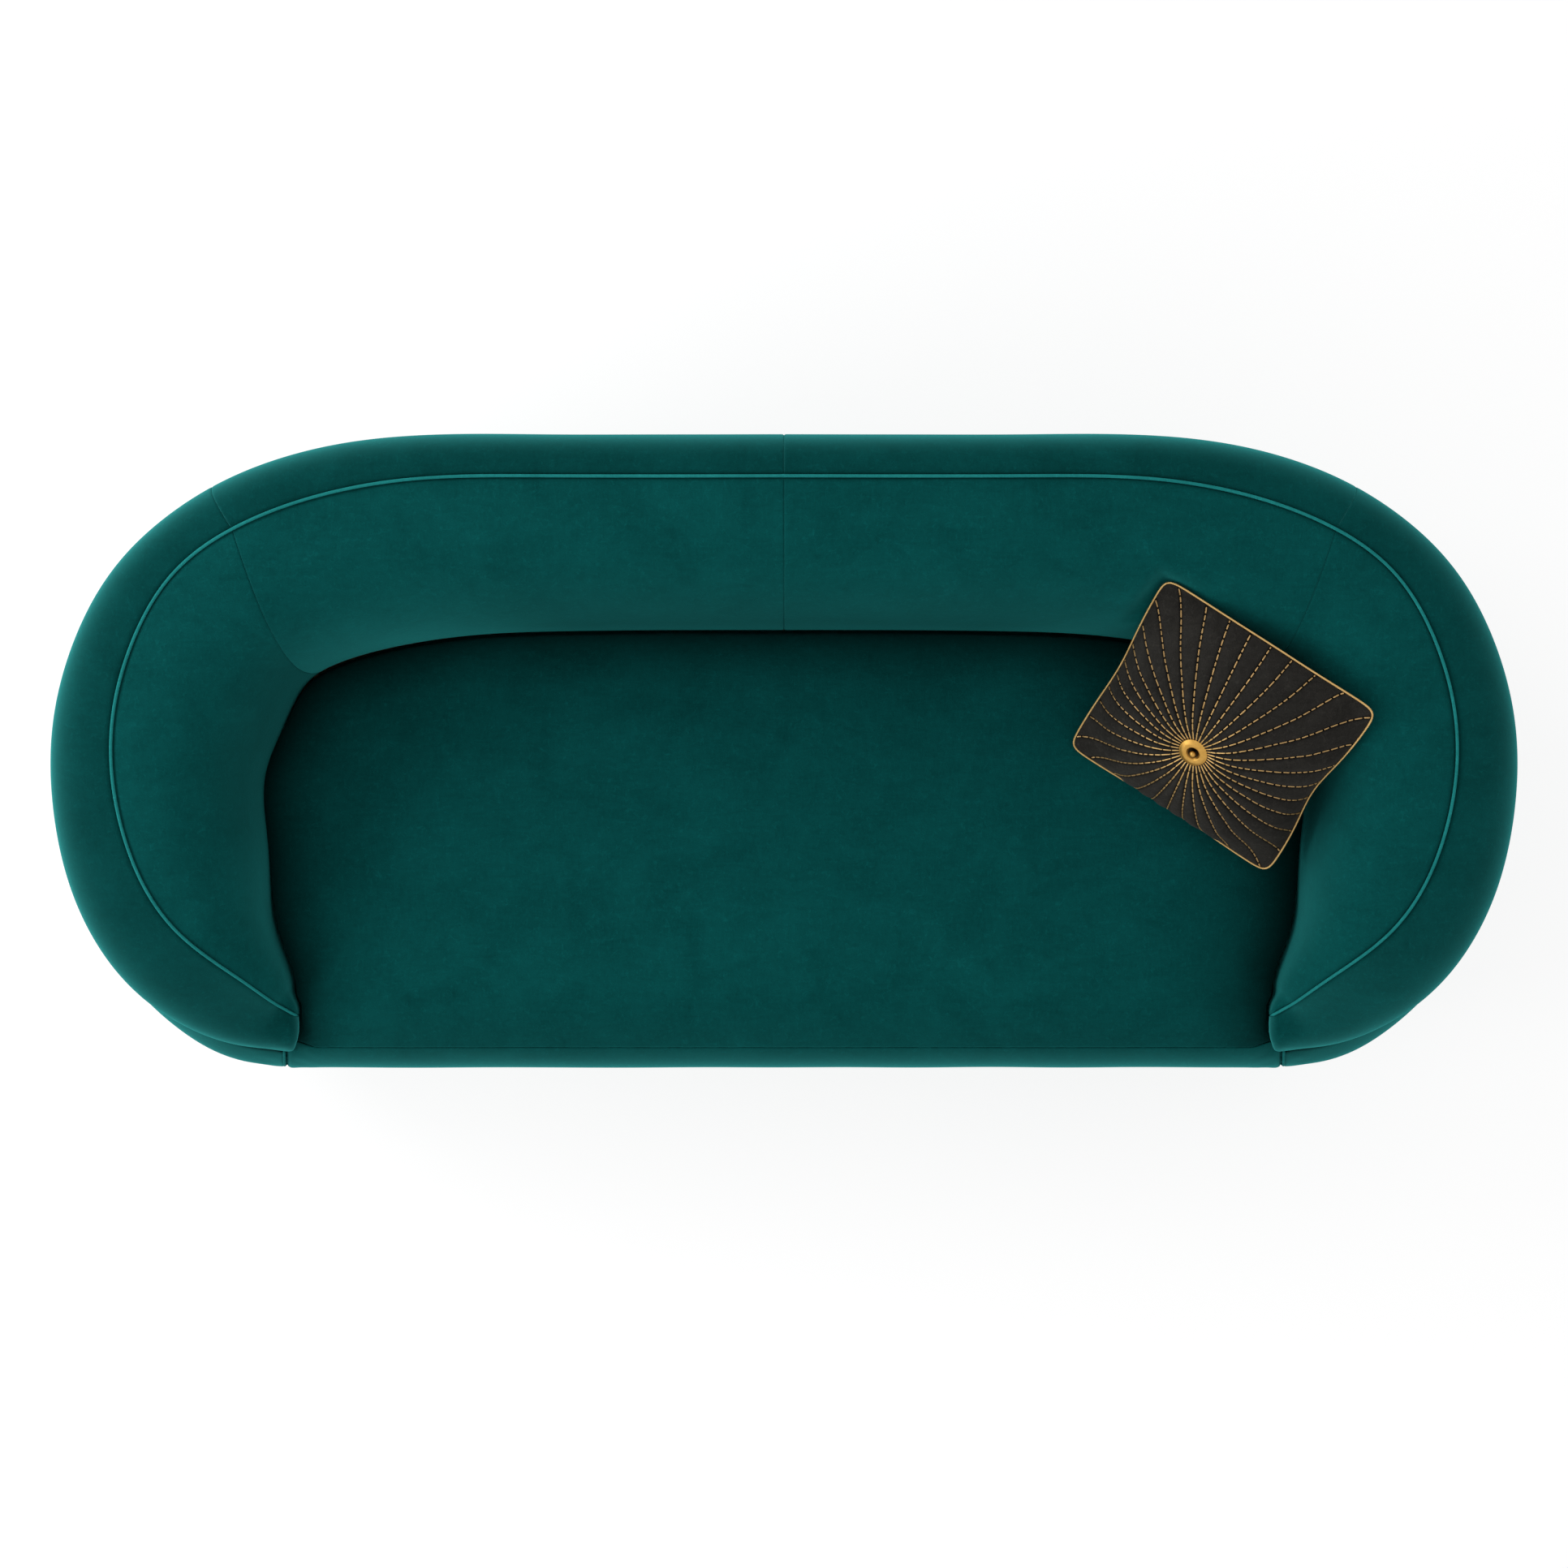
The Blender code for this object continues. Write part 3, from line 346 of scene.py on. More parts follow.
OUTLINE_SHARES = (
    (0.0, 0.994), (0.325, 0.994), (0.520, 0.985), (0.763, 0.836), (0.873, 0.654), (0.951, 0.397),
    (0.993, 0.046), (0.991, -0.295), (0.945, -0.649), (0.868, -0.878), (0.784, -0.981), (0.706, -1.0),
)
BAND_RUN_SHARES = (
    (0.0, -1.0), (-0.06, -1.0), (-0.25, -1.03), (-0.60, -0.99), (-0.95, -0.76), (-1.24, -0.57),
    (-1.45, -0.12), (-1.59, 0.24), (-1.74, 0.74), (-1.68, 1.18), (-0.95, 1.34), (0.0, 1.30),
)
SLOPE_RUN_SHARES = (
    (0.0, -0.975), (0.0, -0.985), (-0.07, -1.01), (-0.30, -0.925), (-0.57, -0.765), (-0.74, -0.50),
    (-0.755, -0.21), (-0.71, 0.04), (-0.44, 0.27), (-0.13, 0.24), (-0.07, 0.11), (0.0, 0.070),
)
CREST_RISE_SHARES = (1.0, 1.0, 1.0, 0.988, 0.955, 0.909, 0.833, 0.712, 0.521, 0.288, 0.100, 0.0)
SEAM_DROP_SHARES = (1.0, 1.0, 1.0, 1.0, 0.95, 0.90, 0.85, 0.88, 0.95, 0.92, 0.66, 0.38)
RAIL_LINE_SHARES = (0.27, 0.27, 0.27, 0.27, 0.27, 0.27, 0.27, 0.30, 0.45, 0.75, 1.0, 1.1)
SEAM_LINE_SHARES = (0.27, 0.27, 0.27, 0.27, 0.27, 0.27, 0.27, 0.32, 0.64, 1.22, 1.44, 1.1)
LAST_STATION = len(OUTLINE_SHARES) - 1

OUTLINE = np.array(OUTLINE_SHARES) * (HALF_WIDTH, HALF_DEPTH)
OUTLINE[-1] = (HALF_WIDTH - NOSE_SETBACK, -HALF_DEPTH)


def station_paces():
    """Distances between stations in plan: the mean of those along the outline and along the piping."""
    piping = OUTLINE + np.multiply(BAND_RUN_SHARES, BAND_RUN)
    steps = [np.linalg.norm(np.diff(line, axis=0), axis=1) for line in (OUTLINE, piping)]
    return (steps[0] + steps[1]) / 2


PACES = station_paces()


def spline(rows, at):
    """The natural cubic spline through rows, one for each station, read at many station numbers."""
    rows = np.asarray(rows, float).reshape(len(rows), -1)
    count = len(rows)
    inner = np.arange(1, count - 1)
    before, after = PACES[:-1], PACES[1:]
    system = np.zeros((count, count))
    system[inner, inner - 1] = after
    system[inner, inner] = 2 * (before + after)
    system[inner, inner + 1] = before
    system[0, :2] = 2, 1
    system[-1, -2:] = 1, 2
    climb = np.diff(rows, axis=0) / PACES[:, None]
    rise = np.zeros_like(rows)
    rise[1:-1] = 3 * (after[:, None] * climb[:-1] + before[:, None] * climb[1:])
    rise[0], rise[-1] = 3 * climb[0], 3 * climb[-1]
    slopes = np.linalg.solve(system, rise)
    low = np.clip(at.astype(int), 0, count - 2)
    f = (at - low)[:, None]
    pace = PACES[low][:, None]
    return (
        rows[low] * (2 * f**3 - 3 * f**2 + 1)
        + rows[low + 1] * (3 * f**2 - 2 * f**3)
        + pace * slopes[low] * (f**3 - 2 * f**2 + f)
        + pace * slopes[low + 1] * (f**3 - f**2)
    )


def wall_at(at):
    """The wall's sizes at many stations, one row for each."""
    at = np.minimum(at, LAST_STATION)
    band_run = spline(np.multiply(BAND_RUN_SHARES, BAND_RUN), at)
    slope_run = spline(np.multiply(SLOPE_RUN_SHARES, SLOPE_RUN), at)
    band = np.linalg.norm(band_run, axis=1, keepdims=True)
    slope = np.linalg.norm(slope_run, axis=1, keepdims=True)
    crest = NOSE_HEIGHT + spline(CREST_RISE_SHARES, at) * (BACK_HEIGHT - NOSE_HEIGHT)
    return SimpleNamespace(
        outline=spline(OUTLINE, at),
        band_way=band_run / band,
        slope_way=slope_run / slope,
        band=band,
        wall=band + slope,
        crest=crest,
        seam=crest - spline(SEAM_DROP_SHARES, at) * SEAM_DROP,
        seam_inset=spline(SEAM_LINE_SHARES, at) * SEAM_INSET,
        rail_top=crest - CREST_PADDING,
        rail_bottom=crest - CREST_PADDING - PLY,
        rail_outer=spline(RAIL_LINE_SHARES, at) * SEAM_INSET + BOARD_COVER,
    )


def plan_points(wall, inset):
    """Plan points at insets from the outline: over the crest band first, then down the inside slope."""
    over = np.minimum(inset, wall.band)[..., None]
    down = np.maximum(inset - wall.band, 0)[..., None]
    return wall.outline[:, None] + wall.band_way[:, None] * over + wall.slope_way[:, None] * down


def run_of(*lines):
    """How far along each place is: the mean of the distances along lines that go side by side."""
    steps = [np.linalg.norm(np.diff(line, axis=0), axis=1) for line in lines]
    return np.concatenate([[0], np.cumsum(sum(steps) / len(steps))])


dense = np.linspace(0, LAST_STATION, DENSE_COUNT)
dense_wall = wall_at(dense)
crest_line = plan_points(dense_wall, dense_wall.band)[:, 0]
crest_run = run_of(np.column_stack([crest_line, dense_wall.crest]))
wall_run = run_of(dense_wall.outline, crest_line)
print("length of the crest from the middle to a nose:", round(float(crest_run[-1]), 3), "m")

# %% [markdown]
# ## Three surfaces of the wall
#
# The inside pad is fuller than a quarter of an ellipse: it bulges a little over the seat, which makes
# the crease under it deep and dark, and is almost level where it meets the welt. The crest band goes
# on over the top and down to the outer seam, and is fuller where that seam is drawn in, to go round the
# hidden rail. The outer panel swells a little under the seam and then tucks in towards the plinth.

# %% The faces of the wall's cross-section
LOW_PART_SHARE = 0.30
FULLEST_SHARE = 0.22
FOOT_SWELL_SHARE = 0.006
FOOT_TUCK_SHARE = 0.14
SLOPE_POWER = 2 / 2.7
CAMERA_PLAN = np.array((0.0, -CAMERA_FORWARD))


def fullest_height(wall):
    """How high the fullest line of the inside pad lies."""
    return SEAT_HEIGHT + FULLEST_SHARE * (wall.crest - SEAT_HEIGHT)


def inside_face(wall, share):
    """From the deck up to the fullest line, which overhangs the seat, and up the slope to the welt."""
    full = fullest_height(wall)
    slope = wall.wall - wall.band
    foot = plan_points(wall, wall.wall)[:, 0] - CAMERA_PLAN
    leaning = -foot * (full - SEAT_HEIGHT) / (CAMERA_HEIGHT - SEAT_HEIGHT)
    swell = np.maximum((leaning * wall.slope_way).sum(axis=1, keepdims=True), 0)
    fullest = wall.wall + swell + FOOT_SWELL_SHARE * slope
    rise = np.clip(share / LOW_PART_SHARE, 0, 1)
    low_inset = fullest - FOOT_TUCK_SHARE * slope * (1 - rise) ** 2
    low_height = DECK_HEIGHT + SOFT_GAP + rise * (full - DECK_HEIGHT - SOFT_GAP)
    turn = np.clip((share - LOW_PART_SHARE) / (1 - LOW_PART_SHARE), 0, 1) * math.pi / 2
    inset = fullest - (1 - np.cos(turn) ** SLOPE_POWER) * (fullest - wall.band)
    height = full + np.sin(turn) ** SLOPE_POWER * (wall.crest - full)
    low = share < LOW_PART_SHARE
    return np.where(low, low_inset, inset), np.where(low, low_height, height)


def crest_face(wall, share):
    """From the welt over the top and down to the outer seam."""
    turn = share * math.pi / 2
    drawn_in = wall.seam_inset + BOARD_COVER - wall.rail_outer
    fullness = CREST_FULLNESS - FULLER_BY_SEAM * drawn_in
    inset = wall.band - np.sin(turn) ** fullness * (wall.band - wall.seam_inset)
    height = wall.seam + np.cos(turn) ** fullness * (wall.crest - wall.seam)
    return inset, height + CREST_CROWN * np.sin(2 * turn)


def outer_face(wall, share):
    """From the outer seam, out over the widest line, and down to the bottom edge."""
    height = wall.seam - SOFT_GAP + share * (PANEL_BOTTOM - wall.seam + SOFT_GAP)
    widest = PANEL_BOTTOM + WIDEST_SHARE * (wall.seam - PANEL_BOTTOM)
    above = wall.seam_inset * (np.maximum(height - widest, 0) / (wall.seam - widest)) ** 2
    below = PANEL_TUCK * (np.maximum(widest - height, 0) / (widest - PANEL_BOTTOM)) ** 2
    return above + below, height


def board_inset(wall, height):
    """The outer face of the plywood skin, which the outer pads are glued to."""
    rise = (height - PANEL_BOTTOM - PLY) / (wall.rail_bottom - PANEL_BOTTOM - PLY)
    return BOARD_FOOT_INSET + rise * (wall.rail_outer - BOARD_FOOT_INSET)


RAIL_LAP_SHARE = 0.15
PAD_FOOT_SHARE = 0.18
GROOVE = 0.0115


def inside_back(wall):
    """The hidden side of an inside pad: down the groove, round the crest rail and down the board."""
    rail_inner = wall.band + RAIL_LAP_SHARE * (wall.wall - wall.band) + SOFT_GAP
    foot = wall.wall - PAD_FOOT_SHARE * wall.wall + SOFT_GAP
    return [
        (wall.band + SOFT_GAP / 2, wall.crest - GROOVE),
        (wall.band + SOFT_GAP / 2, wall.rail_top + SOFT_GAP),
        (rail_inner, wall.rail_top + SOFT_GAP),
        (rail_inner, wall.rail_bottom),
        (foot, DECK_HEIGHT + SOFT_GAP + 0 * foot),
    ]


def crest_back(wall):
    """The hidden side of the crest band, over the crest rail."""
    board_top = np.minimum(wall.seam, wall.rail_bottom)
    return [
        (board_inset(wall, board_top) - SOFT_GAP, wall.seam),
        (wall.rail_outer - SOFT_GAP, np.maximum(wall.rail_bottom, (wall.seam + wall.rail_top) / 2)),
        (wall.rail_outer - SOFT_GAP, wall.rail_top + SOFT_GAP),
        (wall.band - SOFT_GAP / 2, wall.rail_top + SOFT_GAP),
        (wall.band - SOFT_GAP / 2, wall.crest - GROOVE),
    ]


def outer_back(wall):
    """The hidden side of the outer panel, from its folded bottom edge up the board."""
    edge = BOARD_FOOT_INSET - SOFT_GAP + 0 * wall.seam
    top = wall.seam - SOFT_GAP
    return [
        (edge, PANEL_BOTTOM + 0 * edge),
        (edge, PANEL_BOTTOM + PLY + SOFT_GAP + 0 * edge),
        (board_inset(wall, np.minimum(top, wall.rail_bottom)) - SOFT_GAP, top),
    ]


# %% [markdown]
# ## Covering the wall
#
# An upholsterer cuts a flat cover, sews it to its neighbours and pulls it round the padding. Here the
# flat cover is a grid of places along the wall and up the cross-section. They are close together near
# every seam, because that is where the cover rolls in tightly. How deep it rolls at each edge is what
# makes a surface look stuffed rather than cut from a block.

# %% Helpers that lay a grid over the wall


def graded(length, finest, growth, widest):
    """Places from 0 to length, close together at both ends and wide apart in the middle."""
    near = [0.0]
    pace = finest
    while pace < widest and near[-1] + pace < length / 2:
        near.append(near[-1] + pace)
        pace *= growth
    middle_count = max(2, round((length - 2 * near[-1]) / widest) + 1)
    middle = np.linspace(near[-1], length - near[-1], middle_count)
    near = np.array(near[:-1])
    return np.concatenate([near, middle, length - near[::-1]])


def read_at(want, have, line, **how):
    """Points of a line, where each point has a number, read at other numbers."""
    return np.stack([np.interp(want, have, column, **how) for column in line.T], axis=-1)


def spaced(first, second, steps):
    """A profile's two coordinates at graded distances up it, then those distances and its length."""
    paces = np.hypot(np.diff(first, axis=1), np.diff(second, axis=1))
    arc = np.concatenate([np.zeros((len(first), 1)), np.cumsum(paces, axis=1)], axis=1)
    length = arc[:, -1:]
    up = graded(length.max(), *steps)[None] * (length / length.max())
    first, second = [np.array([np.interp(*row) for row in zip(up, arc, line)]) for line in (first, second)]
    return first, second, up, length


def sunk(first, second, sink):
    """The profile moved inwards, square to its own line."""
    lean_first, lean_second = np.gradient(first, axis=1), np.gradient(second, axis=1)
    size = np.hypot(lean_first, lean_second)
    return first - lean_second / size * sink, second + lean_first / size * sink


def all_round(face, hidden):
    """A row of values for the face, then those of the hidden side, and the first one again."""
    return np.concatenate([face, *hidden, face[:, :1]], axis=1)


def rolled(distance, width, depth):
    """How far a cover has rolled in at a distance from its edge: a quarter round."""
    reach = np.clip(1 - distance / width, 0, 1)
    return depth * (1 - np.sqrt(np.maximum(1 - reach**2, 0)))


MERGE = 1e-6
WAVE_SEED = 7
WAVE_COUNT = 18
WAVE_EVENNESS = 1.6
WAVE_RANDOM = np.random.default_rng(WAVE_SEED)
WAVES = [(WAVE_RANDOM.normal(size=3), WAVE_RANDOM.uniform(0, math.tau)) for _ in range(WAVE_COUNT)]


def unevenness(points, wavelength):
    """A slow, smooth unevenness, mostly between -1 and 1, and the same on each run."""
    total = np.zeros(points.shape[:-1])
    for way, phase in WAVES:
        total += np.sin(points @ (way / np.linalg.norm(way)) * math.tau / wavelength + phase)
    return total / WAVE_COUNT**0.5 / WAVE_EVENNESS


def smooth_step(value, low, high):
    """A smooth rise from 0 at the low value to 1 at the high one."""
    share = np.clip((value - low) / (high - low), 0, 1)
    return share * share * (3 - 2 * share)


def waved(points, away, depth, wavelength, reach):
    """An unevenness of the padding that starts at an edge and is full at a distance from it."""
    return depth * unevenness(points, wavelength) * smooth_step(away, 0, reach)


def pull_marks(end, up, depth, reach, start, first, second, second_share, phase=0.0):
    """Short marks that fan out from an end where the cover is gathered."""
    fade = np.exp(-((end / reach) ** 2)) * smooth_step(end, *start)
    waves = np.sin(up / first[0] + end / first[1])
    return depth * fade * (waves + second_share * np.sin(up / second[0] - end / second[1] + phase))


def laid(points, shade):
    """A grid whose vertices lie on an array of points and carry the shade."""
    columns, rows = points.shape[:2]
    bm = bmesh.new()
    bmesh.ops.create_grid(bm, x_segments=columns - 1, y_segments=rows - 1, size=1)
    layer = bm.verts.layers.float.new("shade")
    for vertex, spot, value in zip(bm.verts, points.transpose(1, 0, 2).reshape(-1, 3), shade.T.ravel()):
        vertex.co = spot
        vertex[layer] = value
    return bm


def spanned(points, shade, name, look, body="sofa", sharp=50):
    """Lays a grid on an array of points, closes its ends and makes it a piece of the sofa."""
    bm = laid(points, shade)
    bmesh.ops.remove_doubles(bm, verts=bm.verts, dist=MERGE)
    open_edges = [edge for edge in bm.edges if edge.is_boundary]
    if open_edges:
        bmesh.ops.holes_fill(bm, edges=open_edges, sides=0)
    return finished(bm, name, look, body, sharp)


def finished(bm, name, look, body, sharp=50):
    """Turns a closed bmesh the right way out and gives it its name, finish and body."""
    bmesh.ops.recalc_face_normals(bm, faces=bm.faces[:])
    if bm.calc_volume(signed=True) < 0:
        bmesh.ops.reverse_faces(bm, faces=bm.faces[:])
    mesh = bpy.data.meshes.new(name)
    bm.to_mesh(mesh)
    bm.free()
    mesh.shade_smooth()
    mesh.set_sharp_from_angle(angle=math.radians(sharp))
    mesh.materials.append(look)
    piece = bpy.data.objects.new(name, mesh)
    bpy.context.scene.collection.objects.link(piece)
    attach(piece, body)
    print(name, len(mesh.polygons), "faces")
    return piece


# %% [markdown]
# ## One cover
#
# A real cover is held at its edges and pushed out by what is under it. One function serves for all
# twelve: it follows a face, draws the edges in, adds the padding's slight unevenness, and goes back
# along the hidden side, so that each pad is a closed body. It also writes a painted shade on the mesh
# for the velvet to read: dark in the seams, at the foot of the inside pads and low on the crest band
# by the noses.

# %% The cover of one length of the wall
FACE_SAMPLES = 240
ALONG_STEPS = (0.0009, 1.10, 0.0080)    # finest step, growth from each to the next, widest step
UP_STEPS = (0.0008, 1.16, 0.0070)
COVER_WAVES = (0.0007, 0.23, 0.05)      # depth, wavelength, and where it is full
NOSE_SWING_RUN = 0.045
HIDDEN_SWING_SHARE = 0.5
SEAM_SHADE_WIDTH = 0.0021
PANEL_SEAM_WIDTH = 0.0078
CREST_SEAM_WIDTH = 0.0032
FAINT_SHARE = 0.08
SEEN_INSETS = (0.012, 0.030)
CREST_DUSK = 0.40
CREST_DUSK_SHARES = (0.55, 0.95)
DUSK_SHARES = (0.60, 0.45)
DUSK_RISE_SHARES = (0.25, 0.95)
DUSK_NOSE_RUN = (0.15, 0.50)
ARM_FROM = (0.60, 1.15)


def painted_seam_shade(*distances, width=SEAM_SHADE_WIDTH):
    """Painted shade: dark right beside a seam, and open a few millimetres away from it."""
    return np.exp(-((np.minimum.reduce(distances) / width) ** 2))


def nose_swing(run):
    """How much of the nose's swing a place along the wall has: none until shortly before the end."""
    return np.clip(1 - (wall_run[-1] - run) / NOSE_SWING_RUN, 0, 1) ** 2


def cover_shade(face, wall, height, up, down, gone, left):
    """Painted shade: dark in the seams, and dusky where hardly any light comes."""
    shade = np.maximum(painted_seam_shade(up, down), FAINT_SHARE * painted_seam_shade(gone, left))
    seen_from_above = smooth_step(wall.seam_inset, *SEEN_INSETS)
    if face is outer_face:
        shade = np.maximum(shade, seen_from_above * painted_seam_shade(up, width=PANEL_SEAM_WIDTH))
    # Painted shade low on the crest band and beside its seam, where the seam is drawn in by the noses.
    if face is crest_face:
        dusk = CREST_DUSK * smooth_step(up / (up + down), *CREST_DUSK_SHARES)
        by_seam = painted_seam_shade(down, width=CREST_SEAM_WIDTH)
        shade = np.maximum(shade, seen_from_above * np.maximum(dusk, by_seam))
    # Painted shade in the crease at the inside pad's foot, a little lighter along the arms.
    if face is inside_face:
        full = fullest_height(wall)
        low_down = 1 - smooth_step((height - full) / (wall.crest - full), *DUSK_RISE_SHARES)
        by_arm = smooth_step(wall.outline[:, :1], *ARM_FROM)
        dusk = DUSK_SHARES[0] + (DUSK_SHARES[1] - DUSK_SHARES[0]) * by_arm
        shade = np.maximum(shade, dusk * low_down * smooth_step(left, *DUSK_NOSE_RUN))
    return shade


def cover(name, look, side, stations, face, back, edges, ends, lip=None, marks=None):
    """One sewn cover of the wall, between two stations, from its low edge to its high edge.

    Each edge and end is a width and a depth of its roll. The lip says, for shares of the way up the
    cover, how far its end swings inwards and forwards at the nose, and how much of the end's roll is
    left.
    """
    start, finish = np.interp(stations, dense, wall_run)
    run = start + graded(finish - start, *ALONG_STEPS)
    wall = wall_at(np.interp(run, wall_run, dense))
    profile = face(wall, np.linspace(0, 1, FACE_SAMPLES)[None])
    inset, height, up, length = spaced(*profile, UP_STEPS)
    down = length - up
    share = up / length
    swing = 0 * np.dstack([share, share, share])
    if lip:
        ways = np.dstack([np.interp(share, lip[0], way) for way in lip[1:3]])
        swing[..., :2] = nose_swing(run)[:, None, None] * ways
    where = np.dstack([plan_points(wall, inset), height]) - swing
    steps = np.linalg.norm(np.diff(where, axis=0), axis=2)
    gone = np.concatenate([0 * steps[:1], np.cumsum(steps, axis=0)])
    left = gone[-1:] - gone
    end_roll = rolled(left, *ends[1]) * (np.interp(share, lip[0], lip[3]) if lip else 1)
    sink = rolled(up, *edges[0]) + rolled(down, *edges[1])
    sink = np.hypot(sink, rolled(gone, *ends[0]) + end_roll) + waved(where, up, *COVER_WAVES)
    if marks:
        sink += pull_marks(left, up, **marks)
    if face is inside_face and side > 0:
        sink += pressed(where)
    inset, height = sunk(inset, height, sink)
    shade = cover_shade(face, wall, height, up, down, gone, left)
    hidden = back(wall)
    behind = np.repeat(HIDDEN_SWING_SHARE * swing[:, :1], len(hidden), axis=1)
    inset = all_round(inset, [pair[0] for pair in hidden])
    height = all_round(height, [pair[1] for pair in hidden])
    points = np.dstack([plan_points(wall, inset), height]) - all_round(swing, [behind])
    points[..., 0] = np.maximum(points[..., 0], 0) * side
    shade = all_round(shade, [np.ones((len(run), len(hidden)))])
    piece = spanned(points, shade, name, look)
    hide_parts(name)
    return piece


# %% [markdown]
# ## Where the cushion leans
#
# The cushion is sewn from two squares with round corners, stuffed, and tied down at a tuft a little off
# its middle. It is made flat round its own centre, because a leaning shape is hard to think about, and
# a frame of three directions then leans it into the corner of the sofa. Its place is settled here,
# before the wall is sewn, because the pad behind it gives way a little.

# %% The cushion's own frame
CUSHION_HALF_SIDE = 0.195
CUSHION_THICKNESS = 0.174
CUSHION_SHIFT = (0.0, -0.011, 0.002)
CORNER_POWER = 20
DRAWN_IN = {"right": 0.014, "back": 0.001, "left": 0.007, "front": 0.005}
CUSHION_FULLNESS = 0.62
TUFT = np.array((-0.018, -0.010))
TUFT_DEPTH = 0.016
TUFT_SPREAD = 0.038
CORNER_PINCH = 0.70
PINCH_SHARES = (0.30, 0.85)
TILT = math.radians(42.5)
HEADING = math.radians(-33)
ROLL = math.radians(3)
SKEW = math.radians(8)
RAYS = 34
RIM_ROUNDING = 16
PRESS_GAP = 0.0100
PRESS_MOST = 0.042
PRESS_REACH = 1.22
PRESS_SLANT = 1.13
DISC_RADIUS = 0.0246

piping_low, piping_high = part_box("cushion_piping")
MIDDLE = np.array((piping_low + piping_high) / 2) + CUSHION_SHIFT
EDGE = Vector((math.cos(HEADING), math.sin(HEADING), math.tan(ROLL))).normalized()
CLIMB = HEADING + math.pi / 2 + SKEW
SLOPE = Vector((math.cos(CLIMB), math.sin(CLIMB), math.tan(TILT))).normalized()
FRONT = EDGE.cross(SLOPE).normalized()
LEAN = np.array((EDGE, SLOPE, FRONT))


def leaned(points):
    """Points of the flat cushion, moved to where it leans on the sofa."""
    return MIDDLE + points @ LEAN


def cushion_edge(turn):
    """Plan of the rim at angles round the cushion."""
    cosine, sine = np.cos(turn), np.sin(turn)
    reach = (np.abs(cosine) ** CORNER_POWER + np.abs(sine) ** CORNER_POWER) ** (-1 / CORNER_POWER)
    ways = {"right": cosine, "back": sine, "left": -cosine, "front": -sine}
    drawn = sum(DRAWN_IN[way] * np.maximum(value, 0) ** 2 for way, value in ways.items())
    reach = CUSHION_HALF_SIDE * reach - drawn * np.cos(2 * turn) ** 2
    return np.stack([reach * cosine, reach * sine], axis=-1)


def puffed(plan):
    """Half the cushion's thickness over its plan: less in the corners, and drawn in at the tuft."""
    share = np.minimum(np.abs(plan) / CUSHION_HALF_SIDE, 1)
    fullness = np.maximum((1 - share**2).prod(axis=-1), 0)
    pinch = CORNER_PINCH * smooth_step(share.prod(axis=-1), *PINCH_SHARES)
    away = np.linalg.norm(plan - TUFT, axis=-1)
    tuft = TUFT_DEPTH * np.exp(-((away / TUFT_SPREAD) ** 2))
    return CUSHION_THICKNESS / 2 * (fullness**CUSHION_FULLNESS * (1 - pinch)) - tuft


def pressed(points):
    """How far a pad gives way where the cushion leans on it."""
    local = (points - MIDDLE) @ LEAN.T
    out = np.abs(local[..., :2]).max(axis=-1) / CUSHION_HALF_SIDE
    back_face = -puffed(local[..., :2]) * np.sqrt(1 - np.minimum(out, 1) ** RIM_ROUNDING)
    into = np.clip(local[..., 2] - back_face + PRESS_GAP, 0, PRESS_MOST)
    return PRESS_SLANT * into * (1 - smooth_step(out, 1.0, PRESS_REACH))


TUFT_FLOOR = float(puffed(TUFT + (DISC_RADIUS / 2, 0)))
print("cushion centre", MIDDLE.round(4))

# %% [markdown]
# ## The wall's twelve covers
#
# The seams stand where the cover has to turn a corner: one in the middle of the back, and one in each
# rear corner. The inside pads, the crest band and the outer panels share them. At the noses the crest
# band is rolled over a thick edge, so it is the roundest place on the sofa.

# %% Sew the wall
# Rolls at the edges: how wide and how deep
SEAM_ROLL = (0.0042, 0.0018)
FOOT_ROLL = (0.0100, 0.0020)
WELT_ROLL = (0.0130, 0.0075)
CREST_WELT_ROLL = (0.0120, 0.0075)
OUTER_SEAM_ROLL = (0.0045, 0.0016)
HEM_ROLL = (0.0060, 0.0040)
NOSE_ROLL = (0.0130, 0.0150)
PANEL_NOSE_ROLL = (0.0070, 0.0055)
PANEL_END = 0.8565
NEAR_NOSE_COUNT = 400
END_FLARE = (0.0040, 0.0185)
PIPING_SWING = (0.0200, 0.0118)
FOOT_SWING = (0.0145, 0.0100)
# Lips: shares of the way up, the swing inwards, the swing forwards, and what is left of the roll
CREST_LIP = (
    (0.0, 0.13, 0.33, 0.52, 0.76, 1.0),
    (PIPING_SWING[0], 0.0212, 0.0214, 0.0192, 0.0120, 0.0020),
    (PIPING_SWING[1], 0.0080, 0.0030, 0.0, 0.0, 0.0),
    (1.0, 1.0, 1.0, 0.75, 0.45, 0.3),
)
PANEL_LIP = (
    (0.0, 0.28, 1.0),
    (-END_FLARE[0], -END_FLARE[1], -END_FLARE[1]),
    (0.0, 0.0, 0.0),
    (1.0, 1.0, 1.0),
)
INSIDE_LIP = (
    (0.0, 0.3, 1.0),
    (FOOT_SWING[0], FOOT_SWING[0], PIPING_SWING[0]),
    (FOOT_SWING[1], FOOT_SWING[1], PIPING_SWING[1]),
    (0.3, 0.6, 1.0),
)
NOSE_MARKS = {
    "depth": 0.00035, "reach": 0.055, "start": (0.002, 0.020), "first": (0.0065, 0.020),
    "second": (0.0041, 0.013), "second_share": 0.5, "phase": 1.0,
}
